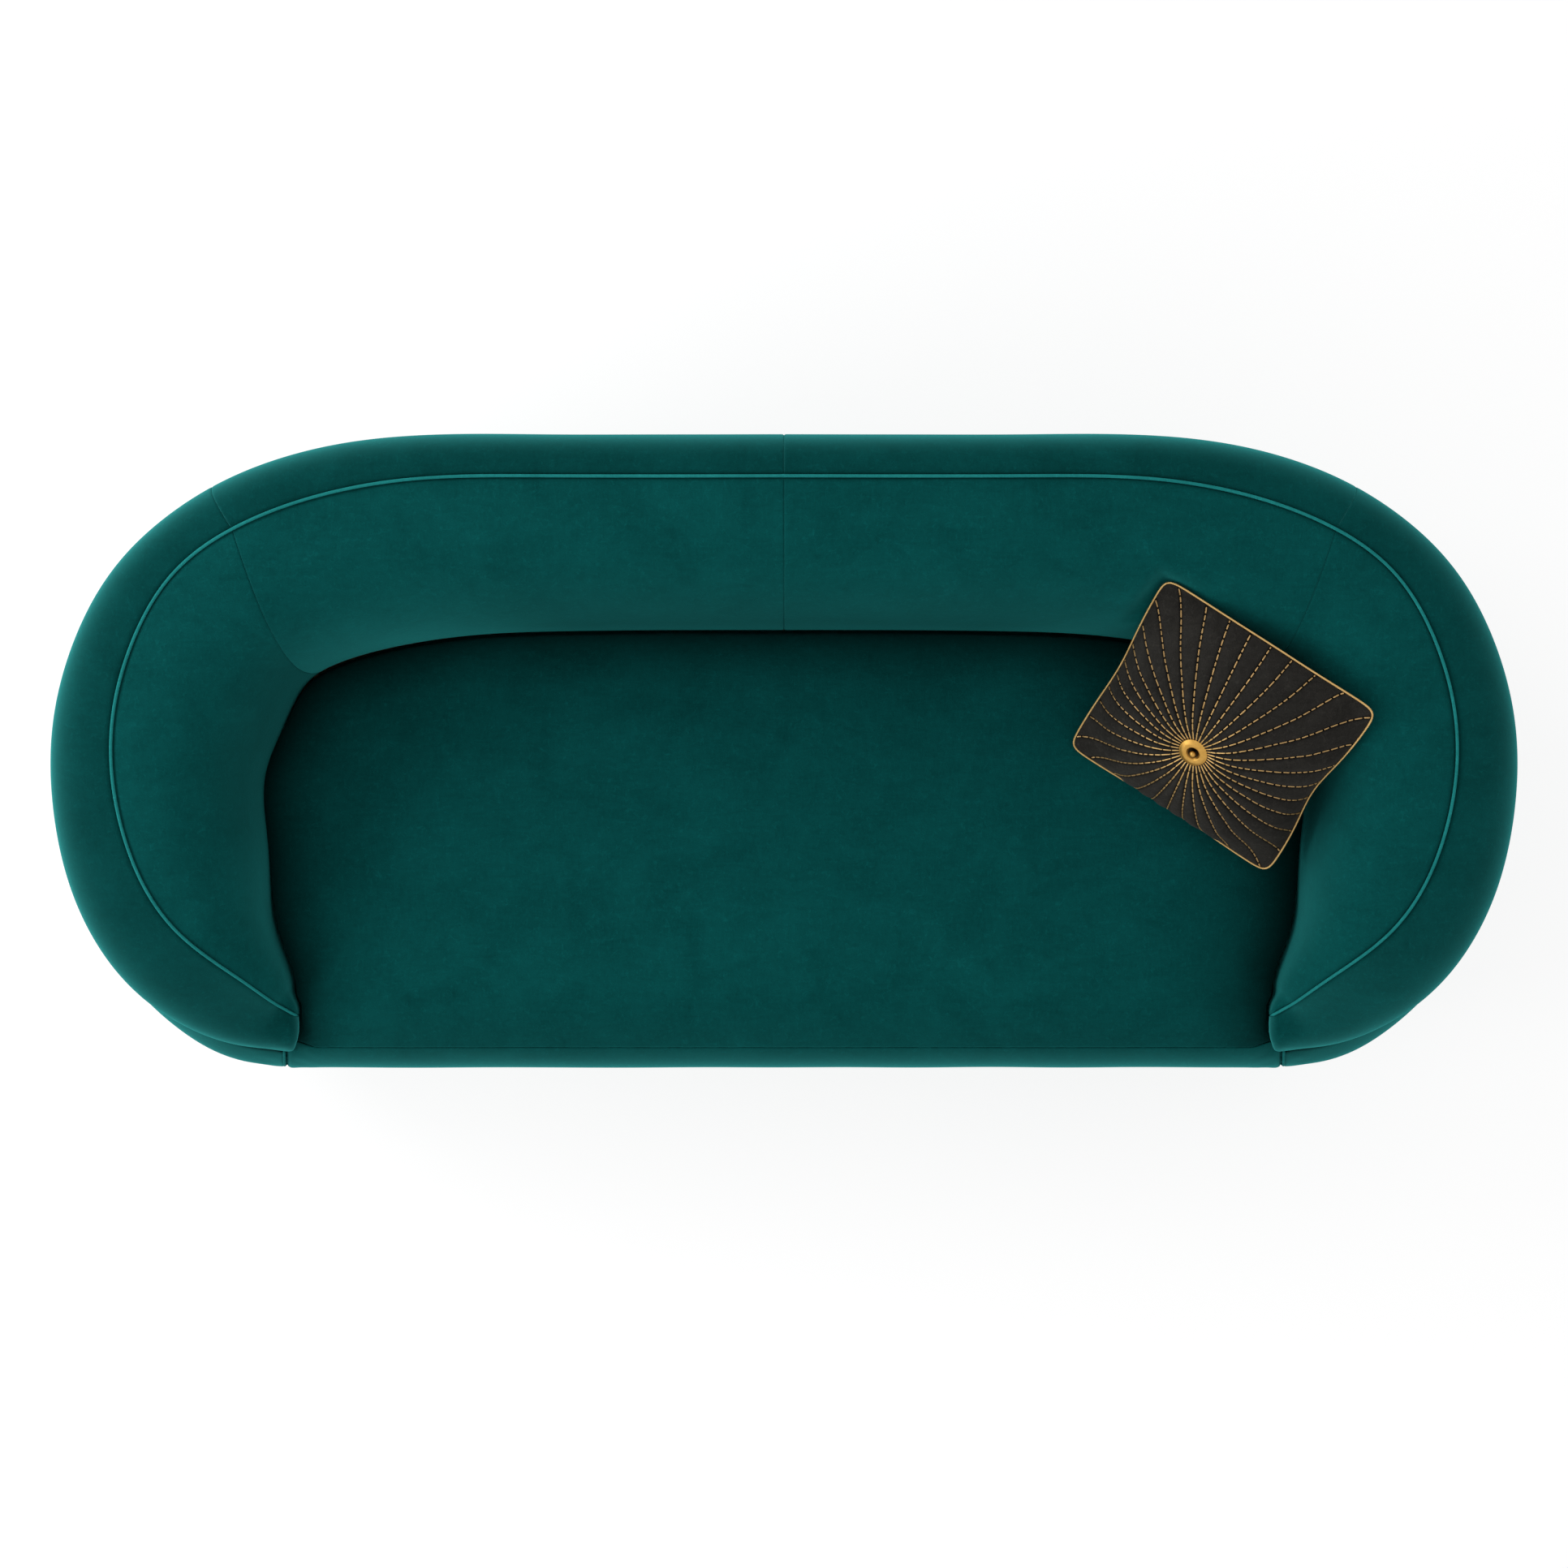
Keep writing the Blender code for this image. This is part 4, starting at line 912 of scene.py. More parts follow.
# Covers: kind, look, face, hidden side, rolls of the two edges, roll at the nose, lip, pull marks
COVERS = (
    ("inside_pad", teal, inside_face, inside_back, (FOOT_ROLL, WELT_ROLL), NOSE_ROLL, INSIDE_LIP, None),
    (
        "crest_pad", teal_outside, crest_face, crest_back, (CREST_WELT_ROLL, OUTER_SEAM_ROLL),
        NOSE_ROLL, CREST_LIP, NOSE_MARKS,
    ),
    (
        "outer_panel", teal_outside, outer_face, outer_back, (OUTER_SEAM_ROLL, HEM_ROLL),
        PANEL_NOSE_ROLL, PANEL_LIP, NOSE_MARKS,
    ),
)

inwards = -dense_wall.outline[-NEAR_NOSE_COUNT:, 0]
panel_last = float(np.interp(-PANEL_END, inwards, dense[-NEAR_NOSE_COUNT:]))
for side_name, side in SIDES:
    for kind, look, face, back, edges, *_ in COVERS:
        name = f"back_{kind}_{side_name}"
        cover(name, look, side, (0, CORNER_SEAM), face, back, edges, (SEAM_ROLL, SEAM_ROLL))
    for kind, look, face, back, edges, nose_roll, lip, marks in COVERS:
        name = f"arm_{kind}_{side_name}"
        stations = (CORNER_SEAM, panel_last if face is outer_face else LAST_STATION)
        cover(name, look, side, stations, face, back, edges, (SEAM_ROLL, nose_roll), lip, marks)

# %% [markdown]
# ## Welts
#
# A welt is a cord wrapped in a bias strip of the same velvet. It is a tube, so a round section is
# carried along the seam's line. The strip is stretched more in some places than in others, so the
# tube's thickness wavers a little.

# %% A welt along any line
WELT_SIDES = 14
WAVER_SHARE = 0.015
WAVER_RUN, WAVER_DRIFT, WAVER_DRIFT_RUN = 0.037, 1.3, 0.11
STRANDS = 3
STRAND_RISE_SHARE = 0.10
UPRIGHT = 1e-3
BLUNT_END_SHARE = 0.02


def welt(
    name, line, radius, look, body="sofa", closed=False, twist=0.0,
    waver=WAVER_SHARE, sides=WELT_SIDES, shade=0.0,
):
    """A round welt or a twisted cord along a line of points."""
    line = np.asarray(line, float)
    if closed:
        ways = np.roll(line, -1, axis=0) - np.roll(line, 1, axis=0)
    else:
        ways = np.gradient(line, axis=0)
    ways /= np.linalg.norm(ways, axis=1, keepdims=True)
    up = np.array((0.0, 0.0, 1.0)) + 0 * ways
    flat = np.cross(ways, up)
    flat[np.linalg.norm(flat, axis=1) < UPRIGHT] = (1, 0, 0)
    flat /= np.linalg.norm(flat, axis=1, keepdims=True)
    if not closed:
        for i in range(1, len(flat)):
            carried = flat[i - 1] - ways[i] * (flat[i - 1] @ ways[i])
            flat[i] = carried / np.linalg.norm(carried)
    rise = np.cross(flat, ways)
    run = run_of(line)
    turns = np.linspace(0, math.tau, sides + 1)
    swell = 1 + waver * np.sin(run / WAVER_RUN + WAVER_DRIFT * np.sin(run / WAVER_DRIFT_RUN))
    reach = radius * np.repeat(swell[:, None], sides + 1, axis=1)
    if twist:
        whole = run[-1] + np.linalg.norm(line[0] - line[-1])
        lay = math.tau * round(whole / twist) * run[:, None] / whole
        reach = reach * (1 + STRAND_RISE_SHARE * np.cos(STRANDS * (turns[None] - lay)))
    if not closed:
        to_end = np.minimum(run, run[-1] - run)[:, None]
        reach = reach * np.sqrt(np.clip(to_end / radius * 2, BLUNT_END_SHARE, 1))
    across, upwards = np.cos(turns)[None, :, None], np.sin(turns)[None, :, None]
    points = line[:, None] + (flat[:, None] * across + rise[:, None] * upwards) * reach[..., None]
    if closed:
        points = np.concatenate([points, points[:1]])
    piece = spanned(points, np.full(points.shape[:2], shade), name, look, body)
    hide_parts(name)
    return piece


# %% [markdown]
# ## The crest piping
#
# One long welt covers the seam along the crest. It stands just proud of the seam, swings in with the
# noses, and turns down over each of them.

# %% The crest piping, from nose to nose
CREST_PIPING = 0.0025
PIPING_STAND = 0.0010
PIPING_TURN_DOWN = (0.0120, 0.0100)
PIPING_STEP = 0.0022
piping_at = np.interp(graded(crest_run[-1], PIPING_STEP, 1.0, PIPING_STEP), crest_run, dense)
piping_wall = wall_at(piping_at)
right = np.dstack([plan_points(piping_wall, piping_wall.band), piping_wall.crest + PIPING_STAND])[:, 0]
right[:, :2] -= nose_swing(np.interp(piping_at, dense, wall_run))[:, None] * PIPING_SWING
piping_left = run_of(right)[-1] - run_of(right)
right[:, 2] -= rolled(piping_left, *PIPING_TURN_DOWN)
left = right[:0:-1] * (-1, 1, 1)
welt("crest_piping", np.concatenate([left, right]), CREST_PIPING, teal_piping)

# %% [markdown]
# ## The seat pad
#
# The bench seat is one foam slab that fills the well between the arms. Its top crowns up towards the
# middle, rolls down into a deep crease along the wall, and slopes gently to a seam at the front. The
# grid for it is stretched between the four borders of the well, and each point's height then comes
# from how far it is from the wall and from the front seam.

# %% The well that the seat fills
FRONT_SEAM = -0.489
FRONT_SEAM_HEIGHT = 0.412
SEAM_TURN_UP = 0.011
SEAM_TURN_SPAN = (0.795, 0.838)
NOSE_LINE = ((0.8310, -0.432), (0.8290, -0.457), (0.8330, -0.478))
SEAT_TUCK = 0.0020
BACK_CORNER = 2.6
WELL_COUNT = 600
SIDE_STEPS = (0.0012, 1.16, 0.013)
ACROSS_STEPS = (0.0006, 1.16, 0.0065)


def seam_line(across):
    """How far forward the front seam lies, across the sofa: it turns back near the noses."""
    return FRONT_SEAM + SEAM_TURN_UP * smooth_step(np.abs(across), *SEAM_TURN_SPAN)


def read_line(line, share):
    """Points of a line at shares of its length."""
    run = run_of(line)
    return read_at(share * run[-1], run, line)


def to_line(points, line):
    """The distance from each point to a line of points."""
    starts, ways = line[:-1], np.diff(line, axis=0)
    spans = np.maximum((ways**2).sum(axis=1), 1e-12)
    nearest = np.full(points.shape[:2], 1e9)
    for row in range(points.shape[0]):
        off = points[row][:, None] - starts[None]
        share = np.clip((off * ways).sum(axis=2) / spans, 0, 1)
        gap = np.linalg.norm(off - share[..., None] * ways[None], axis=2)
        nearest[row] = gap.min(axis=1)
    return nearest


well_at = np.linspace(0, LAST_STATION, WELL_COUNT)
well = wall_at(well_at)
well_right = plan_points(well, well.wall - SEAT_TUCK)[:, 0]
well_right -= nose_swing(np.interp(well_at, dense, wall_run))[:, None] * FOOT_SWING
nose_x = NOSE_LINE[-1][0]
well_right = np.concatenate([well_right, NOSE_LINE, [(nose_x, seam_line(nose_x))]])
corner_index = int(np.searchsorted(well_at, BACK_CORNER))
side_share = graded(1.0, *SIDE_STEPS)
across_share = graded(1.0, *ACROSS_STEPS)
right_side = read_line(well_right[corner_index:][::-1], side_share)
left_side = right_side * (-1, 1)
back_right = well_right[: corner_index + 1]
back_line = np.concatenate([back_right[::-1] * (-1, 1), back_right[1:]])
back_row = read_line(back_line, across_share)
front_x = (2 * across_share - 1) * right_side[0, 0]
front_row = np.stack([front_x, seam_line(front_x)], axis=-1)
u = across_share[:, None, None]
v = side_share[None, :, None]
seat_plan = (
    (1 - u) * left_side[None] + u * right_side[None]
    + (1 - v) * front_row[:, None] + v * back_row[:, None]
    - (1 - u) * (1 - v) * left_side[0] - u * (1 - v) * right_side[0]
    - (1 - u) * v * back_row[0] - u * v * back_row[-1]
)
print("seat grid", seat_plan.shape[:2])

# %% [markdown]
# ## The seat's relief
#
# Crown, crease, front slope and soft unevenness are plain sums of two distances: to the wall and to
# the front seam. The seat's colour is painted darkest along the wall, where the arms and the cushion
# keep out the light, and a little darker by the front seam: painted shade.

# %% The seat's height over its plan
SEAT_TOP = 0.453
CREASE = (0.100, 0.058)
CREASE_NEAR_SHARES = (0.40, 0.0)
CREASE_FADE = 0.15
TRENCH_SPAN = (0.0065, 0.0110)
TRENCH_DEPTH = 0.034
EDGE_CROWN = 0.018
EDGE_CROWN_REACH = 0.24
FRONT_FALL = 0.0225
FRONT_FALL_REACH = 0.085
SEAM_NICK = (0.0030, 0.0012)
SEAT_WAVES = (0.0012, 0.33, 0.1)
FAN_X, FAN_Y = (0.830, 0.835), -0.480
FAN_REACH, FAN_START, FAN_FOLDS, FAN_DEPTH = 0.05, 0.02, 15, 0.0006
SEAT_DUSK_SHARES = (0.45, 0.90)
SEAT_DUSK_REACH = (0.030, 0.075)
RIGHT_DUSK_REACH = 0.155
SEAT_ARM_FROM = (0.45, 0.90)
FRONT_DUSK = 0.18
FRONT_DUSK_REACH = 0.13
RIM_SHARES = (0.25, 1.0)
DECK_CLEAR = 0.004

full_well = np.concatenate([well_right[::-1] * (-1, 1), well_right[1:]])
wall_away = to_line(seat_plan, full_well)
front_away = np.maximum(seat_plan[..., 1] - seam_line(seat_plan[..., 0]), 0)
from_front = smooth_step(front_away, 0.0, CREASE_FADE)
crease = [size * (near + (1 - near) * from_front) for size, near in zip(CREASE, CREASE_NEAR_SHARES)]
seat_height = SEAT_TOP - rolled(wall_away, *crease)
seat_height -= TRENCH_DEPTH * (1 - smooth_step(wall_away, *TRENCH_SPAN)) * from_front
to_edge = np.minimum(wall_away, front_away)
seat_height -= EDGE_CROWN * np.clip(1 - to_edge / EDGE_CROWN_REACH, 0, 1) ** 2
seat_height -= FRONT_FALL * np.clip(1 - front_away / FRONT_FALL_REACH, 0, 1) ** 2
seat_height -= rolled(front_away, *SEAM_NICK)
seat_points = np.dstack([seat_plan, seat_height])
seat_points[..., 2] += waved(seat_points, wall_away, *SEAT_WAVES)
out_x, fan_y = np.abs(seat_plan[..., 0]), seat_plan[..., 1] - FAN_Y
fan_away = np.hypot(out_x - FAN_X[0], fan_y)
folds = np.sin(FAN_FOLDS * np.arctan2(fan_y, FAN_X[1] - out_x)) * smooth_step(fan_away, 0.0, FAN_START)
seat_points[..., 2] += FAN_DEPTH * folds * np.exp(-((fan_away / FAN_REACH) ** 2))

# Painted shade on the seat: darkest along the wall, reaching furthest by the right arm, and a little
# darker towards the front seam.
by_arm = smooth_step(out_x, *SEAT_ARM_FROM)
dusk, reach = [back + (arm - back) * by_arm for back, arm in (SEAT_DUSK_SHARES, SEAT_DUSK_REACH)]
reach += (seat_plan[..., 0] > 0) * (RIGHT_DUSK_REACH - SEAT_DUSK_REACH[1]) * by_arm
seat_shade = np.maximum(dusk * np.exp(-wall_away / reach), FAINT_SHARE * painted_seam_shade(front_away))
seat_shade = np.maximum(seat_shade, FRONT_DUSK * (1 - smooth_step(front_away, 0.0, FRONT_DUSK_REACH)))


def seat_body():
    """The seat's top, with its rim carried down to the deck and closed underneath."""
    bm = laid(seat_points, seat_shade)
    rim = [edge for edge in bm.edges if edge.is_boundary]
    for share in RIM_SHARES:
        grown = bmesh.ops.extrude_edge_only(bm, edges=rim)
        rim = [item for item in grown["geom"] if isinstance(item, bmesh.types.BMEdge)]
        for vertex in {vertex for edge in rim for vertex in edge.verts}:
            vertex.co.z += share * (DECK_HEIGHT + DECK_CLEAR - vertex.co.z)
    bmesh.ops.holes_fill(bm, edges=rim, sides=0)
    return finished(bm, "seat_pad", teal, "sofa")


seat = seat_body()
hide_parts("seat_pad")

# %% [markdown]
# ## The front border and its two short welts
#
# The border covers the front rail. It leaves the seat's seam at a slant, swells forward, and tucks in
# towards the plinth. At each end a short welt closes the joint between the border and the nose.

# %% The border's profile
BORDER_END = 0.8465
BORDER_FRONT = -0.532
BORDER_SWELL_HEIGHT = 0.335
BORDER_CLEAR = 0.0006
BORDER_LAP = 0.03
SEAM_LEAVE = math.radians(25)
RAIL_CLEAR = 0.0003
RAIL_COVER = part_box("front_rail")[0].y - RAIL_CLEAR


def border_profile(across, turn_share, lower_share):
    """The border's front in Y and Z at places across the sofa: the swell, then the tuck."""
    start = seam_line(across) - BORDER_CLEAR
    turn = SEAM_LEAVE + turn_share * (math.pi / 2 - SEAM_LEAVE)
    depth = (start - BORDER_FRONT) / (1 - math.sin(SEAM_LEAVE))
    rise = (FRONT_SEAM_HEIGHT - BORDER_SWELL_HEIGHT) / math.cos(SEAM_LEAVE)
    lower = lower_share[:, 1:]
    upper_y = BORDER_FRONT + depth * (1 - np.sin(turn))
    upper_z = BORDER_SWELL_HEIGHT + rise * np.cos(turn) + 0 * start
    lower_y = BORDER_FRONT + PANEL_TUCK * lower**2 + 0 * start
    lower_z = BORDER_SWELL_HEIGHT + lower * (PANEL_BOTTOM - BORDER_SWELL_HEIGHT) + 0 * start
    return np.concatenate([upper_y, lower_y], axis=1), np.concatenate([upper_z, lower_z], axis=1)


def flare(height):
    """How far out the border's ends stand: further at the swell than at the seat's seam."""
    share = np.clip((FRONT_SEAM_HEIGHT - height) / (FRONT_SEAM_HEIGHT - BORDER_SWELL_HEIGHT), 0, 1)
    return END_FLARE[0] + (END_FLARE[1] - END_FLARE[0]) * share


# %% [markdown]
# ## The border's cover
#
# The border is covered as the wall is: its profile is read at graded distances, drawn in at the edges
# and at both ends, and closed behind over the front rail.

# %% Sew the border
UPPER_COUNT, LOWER_COUNT = 30, 34
BORDER_ALONG_STEPS = (0.0009, 1.10, 0.0085)
BORDER_UP_STEPS = (0.0008, 1.16, 0.0075)
BORDER_END_ROLL = (0.0080, 0.0050)
BORDER_WAVES = (0.0008, 0.21, 0.03)
BORDER_MARKS = {
    "depth": 0.0005, "reach": 0.050, "start": (0.001, 0.012), "first": (0.0085, 0.018),
    "second": (0.0052, 0.011), "second_share": 0.6,
}
FLARE_FROM = 0.60
BORDER_HIDDEN = (
    (RAIL_COVER, PANEL_BOTTOM), (RAIL_COVER, DECK_HEIGHT), (FRONT_SEAM, DECK_HEIGHT),
    (FRONT_SEAM, FRONT_SEAM_HEIGHT - BORDER_LAP),
)

border_x = graded(2 * BORDER_END, *BORDER_ALONG_STEPS)[:, None] - BORDER_END
upper, lower = [np.linspace(0, 1, count)[None] for count in (UPPER_COUNT, LOWER_COUNT)]
border_y, border_z, up, length = spaced(*border_profile(border_x, upper, lower), BORDER_UP_STEPS)
end_away = BORDER_END - np.abs(border_x) + 0 * up
sink = rolled(up, *SEAM_NICK) + rolled(length - up, *HEM_ROLL)
sink = np.hypot(sink, rolled(end_away, *BORDER_END_ROLL))
sink += waved(np.dstack([border_x + 0 * up, border_y, border_z]), up, *BORDER_WAVES)
sink += pull_marks(end_away, up, **BORDER_MARKS)
border_y, border_z = sunk(border_y, border_z, sink)
border_y = all_round(border_y, [y + 0 * border_x for y, z in BORDER_HIDDEN])
border_z = all_round(border_z, [z + 0 * border_x for y, z in BORDER_HIDDEN])
# Painted shade along the border's bottom edge and at both ends.
border_shade = painted_seam_shade(length - up, end_away)
border_shade = np.pad(border_shade, ((0, 0), (0, len(BORDER_HIDDEN) + 1)), constant_values=1)
out = flare(border_z) * np.sign(border_x) * smooth_step(np.abs(border_x), FLARE_FROM, BORDER_END)
border_points = np.dstack([border_x + out, border_y, border_z])
border = spanned(border_points, border_shade, "front_border", teal_outside)
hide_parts("front_border")

# %% [markdown]
# ## Two short welts
#
# Each one lies in the joint between the border and a nose, so it follows the border's own profile.

# %% The short welts
SHORT_WELT_AT = 0.8516
SHORT_WELT = 0.0023
SHORT_WELT_BACK = 0.0040
# A uniform painted shade darkens the short welts, which lie in the joint.
SHORT_WELT_SHADE = 0.45
WELT_TOP_SHARE = 0.25
WELT_LOWER_COUNT = 60
welt_upper = np.linspace(WELT_TOP_SHARE, 1, UPPER_COUNT)[None]
welt_lower = np.linspace(0, 1, WELT_LOWER_COUNT)[None]
welt_y, welt_z = border_profile(np.array([[SHORT_WELT_AT]]), welt_upper, welt_lower)
for side_name, side in SIDES:
    welt_x = side * (SHORT_WELT_AT + flare(welt_z[0]))
    route = np.stack([welt_x, welt_y[0] + SHORT_WELT_BACK, welt_z[0]], axis=-1)
    name = f"front_welt_{side_name}"
    welt(name, route, SHORT_WELT, teal_piping, shade=SHORT_WELT_SHADE)

# %% [markdown]
# ## The scatter cushion
#
# Each of the cushion's two faces is a fan of columns from the tuft to the rim. The rays are stitched
# from the tuft to the edge; each lies in a groove, and the velvet puffs up between them.

# %% The cushion's body, with a groove along each ray
RAY_GROOVE_DEPTH = 0.0026
RAY_GROOVE_WIDTH = 0.0026
GROOVE_LANE_SHARE = 0.34
GROOVE_FULL_LANE = 0.006
LEAST_GROOVE_SHARE = 0.35
PUFF = 0.0026
PUFF_FULL_LANE = 0.02
WRINKLE_DEPTH = 0.0010
WRINKLE_LENGTHS = (0.09, 0.035)
RIM_FADE = 0.05
OFFSET_SHARES = np.array((-0.5, -0.34, -0.20, -0.12, -0.075, -0.038, 0.0, 0.038, 0.075, 0.12, 0.20, 0.34))
RAY_COLUMN = 6
RING_COUNT = 100
FIRST_RING_TURN = 0.06
RING_POWER = 0.9
RIM_COUNT = 2880

turn_shares = (np.arange(RAYS)[:, None] + OFFSET_SHARES[None]).ravel() / RAYS
cushion_turns = np.append(turn_shares, turn_shares[0] + 1) * math.tau
ray_offset = np.append(np.tile(OFFSET_SHARES, RAYS), OFFSET_SHARES[0])
ring_shares = np.sin(np.linspace(FIRST_RING_TURN, math.pi / 2, RING_COUNT)) ** RING_POWER


def rim_seen(turns):
    """The rim's points at angles round the tuft, which isn't quite in the middle."""
    around = cushion_edge(np.linspace(0, math.tau, RIM_COUNT, endpoint=False))
    seen = np.arctan2(around[:, 1] - TUFT[1], around[:, 0] - TUFT[0])
    return read_at(turns, seen, around, period=math.tau)


rim = rim_seen(cushion_turns)


def plump(plan, ring_share):
    """The stuffed face's height with its slight wrinkles. Both faces meet at the piping."""
    height = puffed(plan) * np.sqrt(1 - ring_share**RIM_ROUNDING)
    long_waves, short_waves = [unevenness(np.dstack([plan, height]), size) for size in WRINKLE_LENGTHS]
    wrinkle = WRINKLE_DEPTH * (long_waves + short_waves / 2)
    return height + wrinkle * smooth_step(1 - ring_share, 0.0, RIM_FADE)


def cushion_side(facing, ring_shares):
    """Points of one face and their shade: a column for each angle, rows from the tuft to the rim."""
    plan = TUFT + (rim - TUFT)[:, None] * ring_shares[None, :, None]
    lane = np.linalg.norm(plan - TUFT, axis=-1) * math.tau / RAYS
    beside = np.abs(ray_offset)[:, None] * lane
    width = np.minimum(RAY_GROOVE_WIDTH, GROOVE_LANE_SHARE * lane)
    # Painted shade along the bottom of each ray's groove on the front face.
    groove = np.exp(-((beside / width) ** 2)) * (facing > 0)
    depth = RAY_GROOVE_DEPTH * np.clip(lane / GROOVE_FULL_LANE, LEAST_GROOVE_SHARE, 1)
    between = (1 - np.cos(ray_offset * math.tau)[:, None]) / 2
    puff = PUFF * between * np.clip(lane / PUFF_FULL_LANE, 0, 1) * (facing > 0)
    edge_fade = smooth_step(1 - ring_shares, 0.0, RIM_FADE)[None]
    height = plump(plan, ring_shares[None]) + (puff - depth * groove) * edge_fade
    return np.dstack([plan, facing * height]), groove


front, front_shade = cushion_side(1, ring_shares)
back, back_shade = cushion_side(-1, ring_shares[::2])
cushion_points = np.concatenate([front, back[:, ::-1][:, 1:]], axis=1)
cushion_shade = np.concatenate([front_shade, back_shade[:, ::-1][:, 1:]], axis=1)
cushion = spanned(
    leaned(cushion_points), cushion_shade, "scatter_cushion", charcoal,
    "loose_cushion", sharp=70,
)
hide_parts("scatter_cushion")

# %% [markdown]
# ## Gold trim on the cushion
#
# The rim carries a cord laid from three strands, which the welt helper can twist. The rays are couched
# beads: short gold bars sewn end to end with a small gap, each one a six-sided spindle. Hundreds of
# them share one simple shape, and all of them are one piece of trim.

# %% Gold cord and gold metal


def gold_cord_look():
    """Gold thread, browned by painted shade on the piping and back rays, and further from the tuft."""
    look = Look("gold_cord", (0.50, 0.31, 0.13), 0.42, 0.55)
    coords = look.place()
    wear = look.noise(coords, 90.0, detail=3.0)
    thread = look.noise(coords, 900.0, detail=2.0)
    fac = wear * 0.8 + thread * 0.4 - 0.1
    near = look.blend(fac, (0.60, 0.33, 0.085), (0.98, 0.66, 0.26))
    far = look.blend(fac, (0.26, 0.145, 0.050), (0.66, 0.43, 0.18))
    look.set(Base_Color=look.blend(look.shade(), near, far), Roughness=0.34 + thread * 0.22)
    look.bump(thread, 0.0004, 0.5)
    return look.material


def gold_metal_look():
    """Worn gold, painted nearly black at the bottom of its recess: painted shade."""
    look = Look("gold_metal", (0.62, 0.40, 0.14), 0.36, 1.0)
    coords = look.place()
    wear = look.noise(coords, 140.0, detail=4.0, roughness=0.6)
    fine = look.noise(coords, 2200.0, detail=2.0)
    bright = look.blend(wear, (0.42, 0.215, 0.038), (0.74, 0.44, 0.115))
    gold_with_painted_shade = look.blend(look.shade(), bright, (0.020, 0.012, 0.005))
    look.set(Base_Color=gold_with_painted_shade, Roughness=0.34 + wear * 0.16)
    look.bump(fine * 0.5 + wear, 0.0002, 0.4)
    return look.material


gold_cord = gold_cord_look()
gold_metal = gold_metal_look()
print("gold:", gold_cord.name, gold_metal.name)

# %% The twisted piping round the rim
CUSHION_PIPING = 0.0016
PIPING_OUT = 0.0022
LAY_LENGTH = 0.0095
# Painted shade over the whole piping.
PIPING_SHADE = 0.35
CORD_COUNT = 1400
CORD_STEP = 0.0011
CORD_SIDES = 12
rim_line = cushion_edge(np.linspace(0, math.tau, CORD_COUNT, endpoint=False))
outward = rim_line / np.linalg.norm(rim_line, axis=1, keepdims=True)
cord_line = np.column_stack([rim_line + outward * PIPING_OUT, np.zeros(len(rim_line))])
looped = np.concatenate([cord_line, cord_line[:1]])
run = run_of(looped)
cord_line = read_at(np.arange(0, run[-1], CORD_STEP), run, looped)
welt(
    "cushion_piping", leaned(cord_line), CUSHION_PIPING, gold_cord, "loose_cushion",
    closed=True, twist=LAY_LENGTH, waver=0.0, sides=CORD_SIDES, shade=PIPING_SHADE,
)

# %% The beaded rays
BEAD_RADIUS = 0.0012
BEAD_GAP = 0.0028
BEAD_LENGTHS = (0.0120, 0.0085, 0.0100, 0.0070)
BEAD_SEED = 11
BEAD_SIDES = 6
BEAD_END_SHARE = 0.6
BEAD_MIDDLE_STRETCH = 2.2
BEAD_LIFT_SHARE = 0.6
SHORTEST_BEAD = 0.0015
FULLER_RUN, FULLER_LENGTH, FULLER_GAP = 0.030, 1.6, 0.5
DARKEST_BEAD, DARKEST_RUN = 0.9, 0.11
RAY_START, RAY_STOP = DISC_RADIUS + 0.0005, 0.001
FRONT_RAY_COUNT, BACK_RAY_COUNT = 160, 60
CURL_SHARES = (0.995, 0.80)
CURL_SWEEP_SHARE = 0.42


def bead_shape():
    """One bead of unit size: a six-sided bar along Z whose ends are drawn in."""
    bm = bmesh.new()
    ends = {"radius1": BEAD_END_SHARE, "radius2": BEAD_END_SHARE}
    bmesh.ops.create_cone(bm, cap_ends=True, segments=BEAD_SIDES, depth=1, **ends)
    long_edges = [edge for edge in bm.edges if abs(edge.verts[0].co.z - edge.verts[1].co.z) > 0.5]
    bmesh.ops.subdivide_edges(bm, edges=long_edges, cuts=2)
    middle = [vertex for vertex in bm.verts if abs(vertex.co.z) < 0.4]
    wider = 1 / BEAD_END_SHARE
    bmesh.ops.scale(bm, vec=(wider, wider, BEAD_MIDDLE_STRETCH), verts=middle)
    bm.verts.layers.float.new("shade")
    mesh = bpy.data.meshes.new("bead")
    bm.to_mesh(mesh)
    bm.free()
    return mesh


def lay_bead(bm, shape, start, end, normal, radius, shade):
    """Adds one bead from start to end."""
    before = len(bm.verts)
    bm.from_mesh(shape)
    bm.verts.ensure_lookup_table()
    layer = bm.verts.layers.float["shade"]
    way = end - start
    z_axis = way.normalized()
    x_axis = normal.cross(z_axis).normalized()
    y_axis = z_axis.cross(x_axis)
    matrix = Matrix((x_axis * radius, y_axis * radius, way)).transposed().to_4x4()
    matrix.translation = (start + end) / 2
    bmesh.ops.transform(bm, matrix=matrix, verts=bm.verts[before:])
    for vertex in bm.verts[before:]:
        vertex[layer] = shade


def lifted(path, facing):
    """A path on the stuffed face, raised by part of a bead along the face's own normal."""
    ways = np.gradient(path, axis=0)
    across = np.linalg.norm(ways[:, :2], axis=1, keepdims=True)
    plan_way = ways[:, :2] / np.maximum(across, 1e-9)
    normals = np.column_stack([-facing * ways[:, 2:] * plan_way, facing * across])
    normals /= np.linalg.norm(normals, axis=1, keepdims=True)
    return path + normals * BEAD_RADIUS * BEAD_LIFT_SHARE


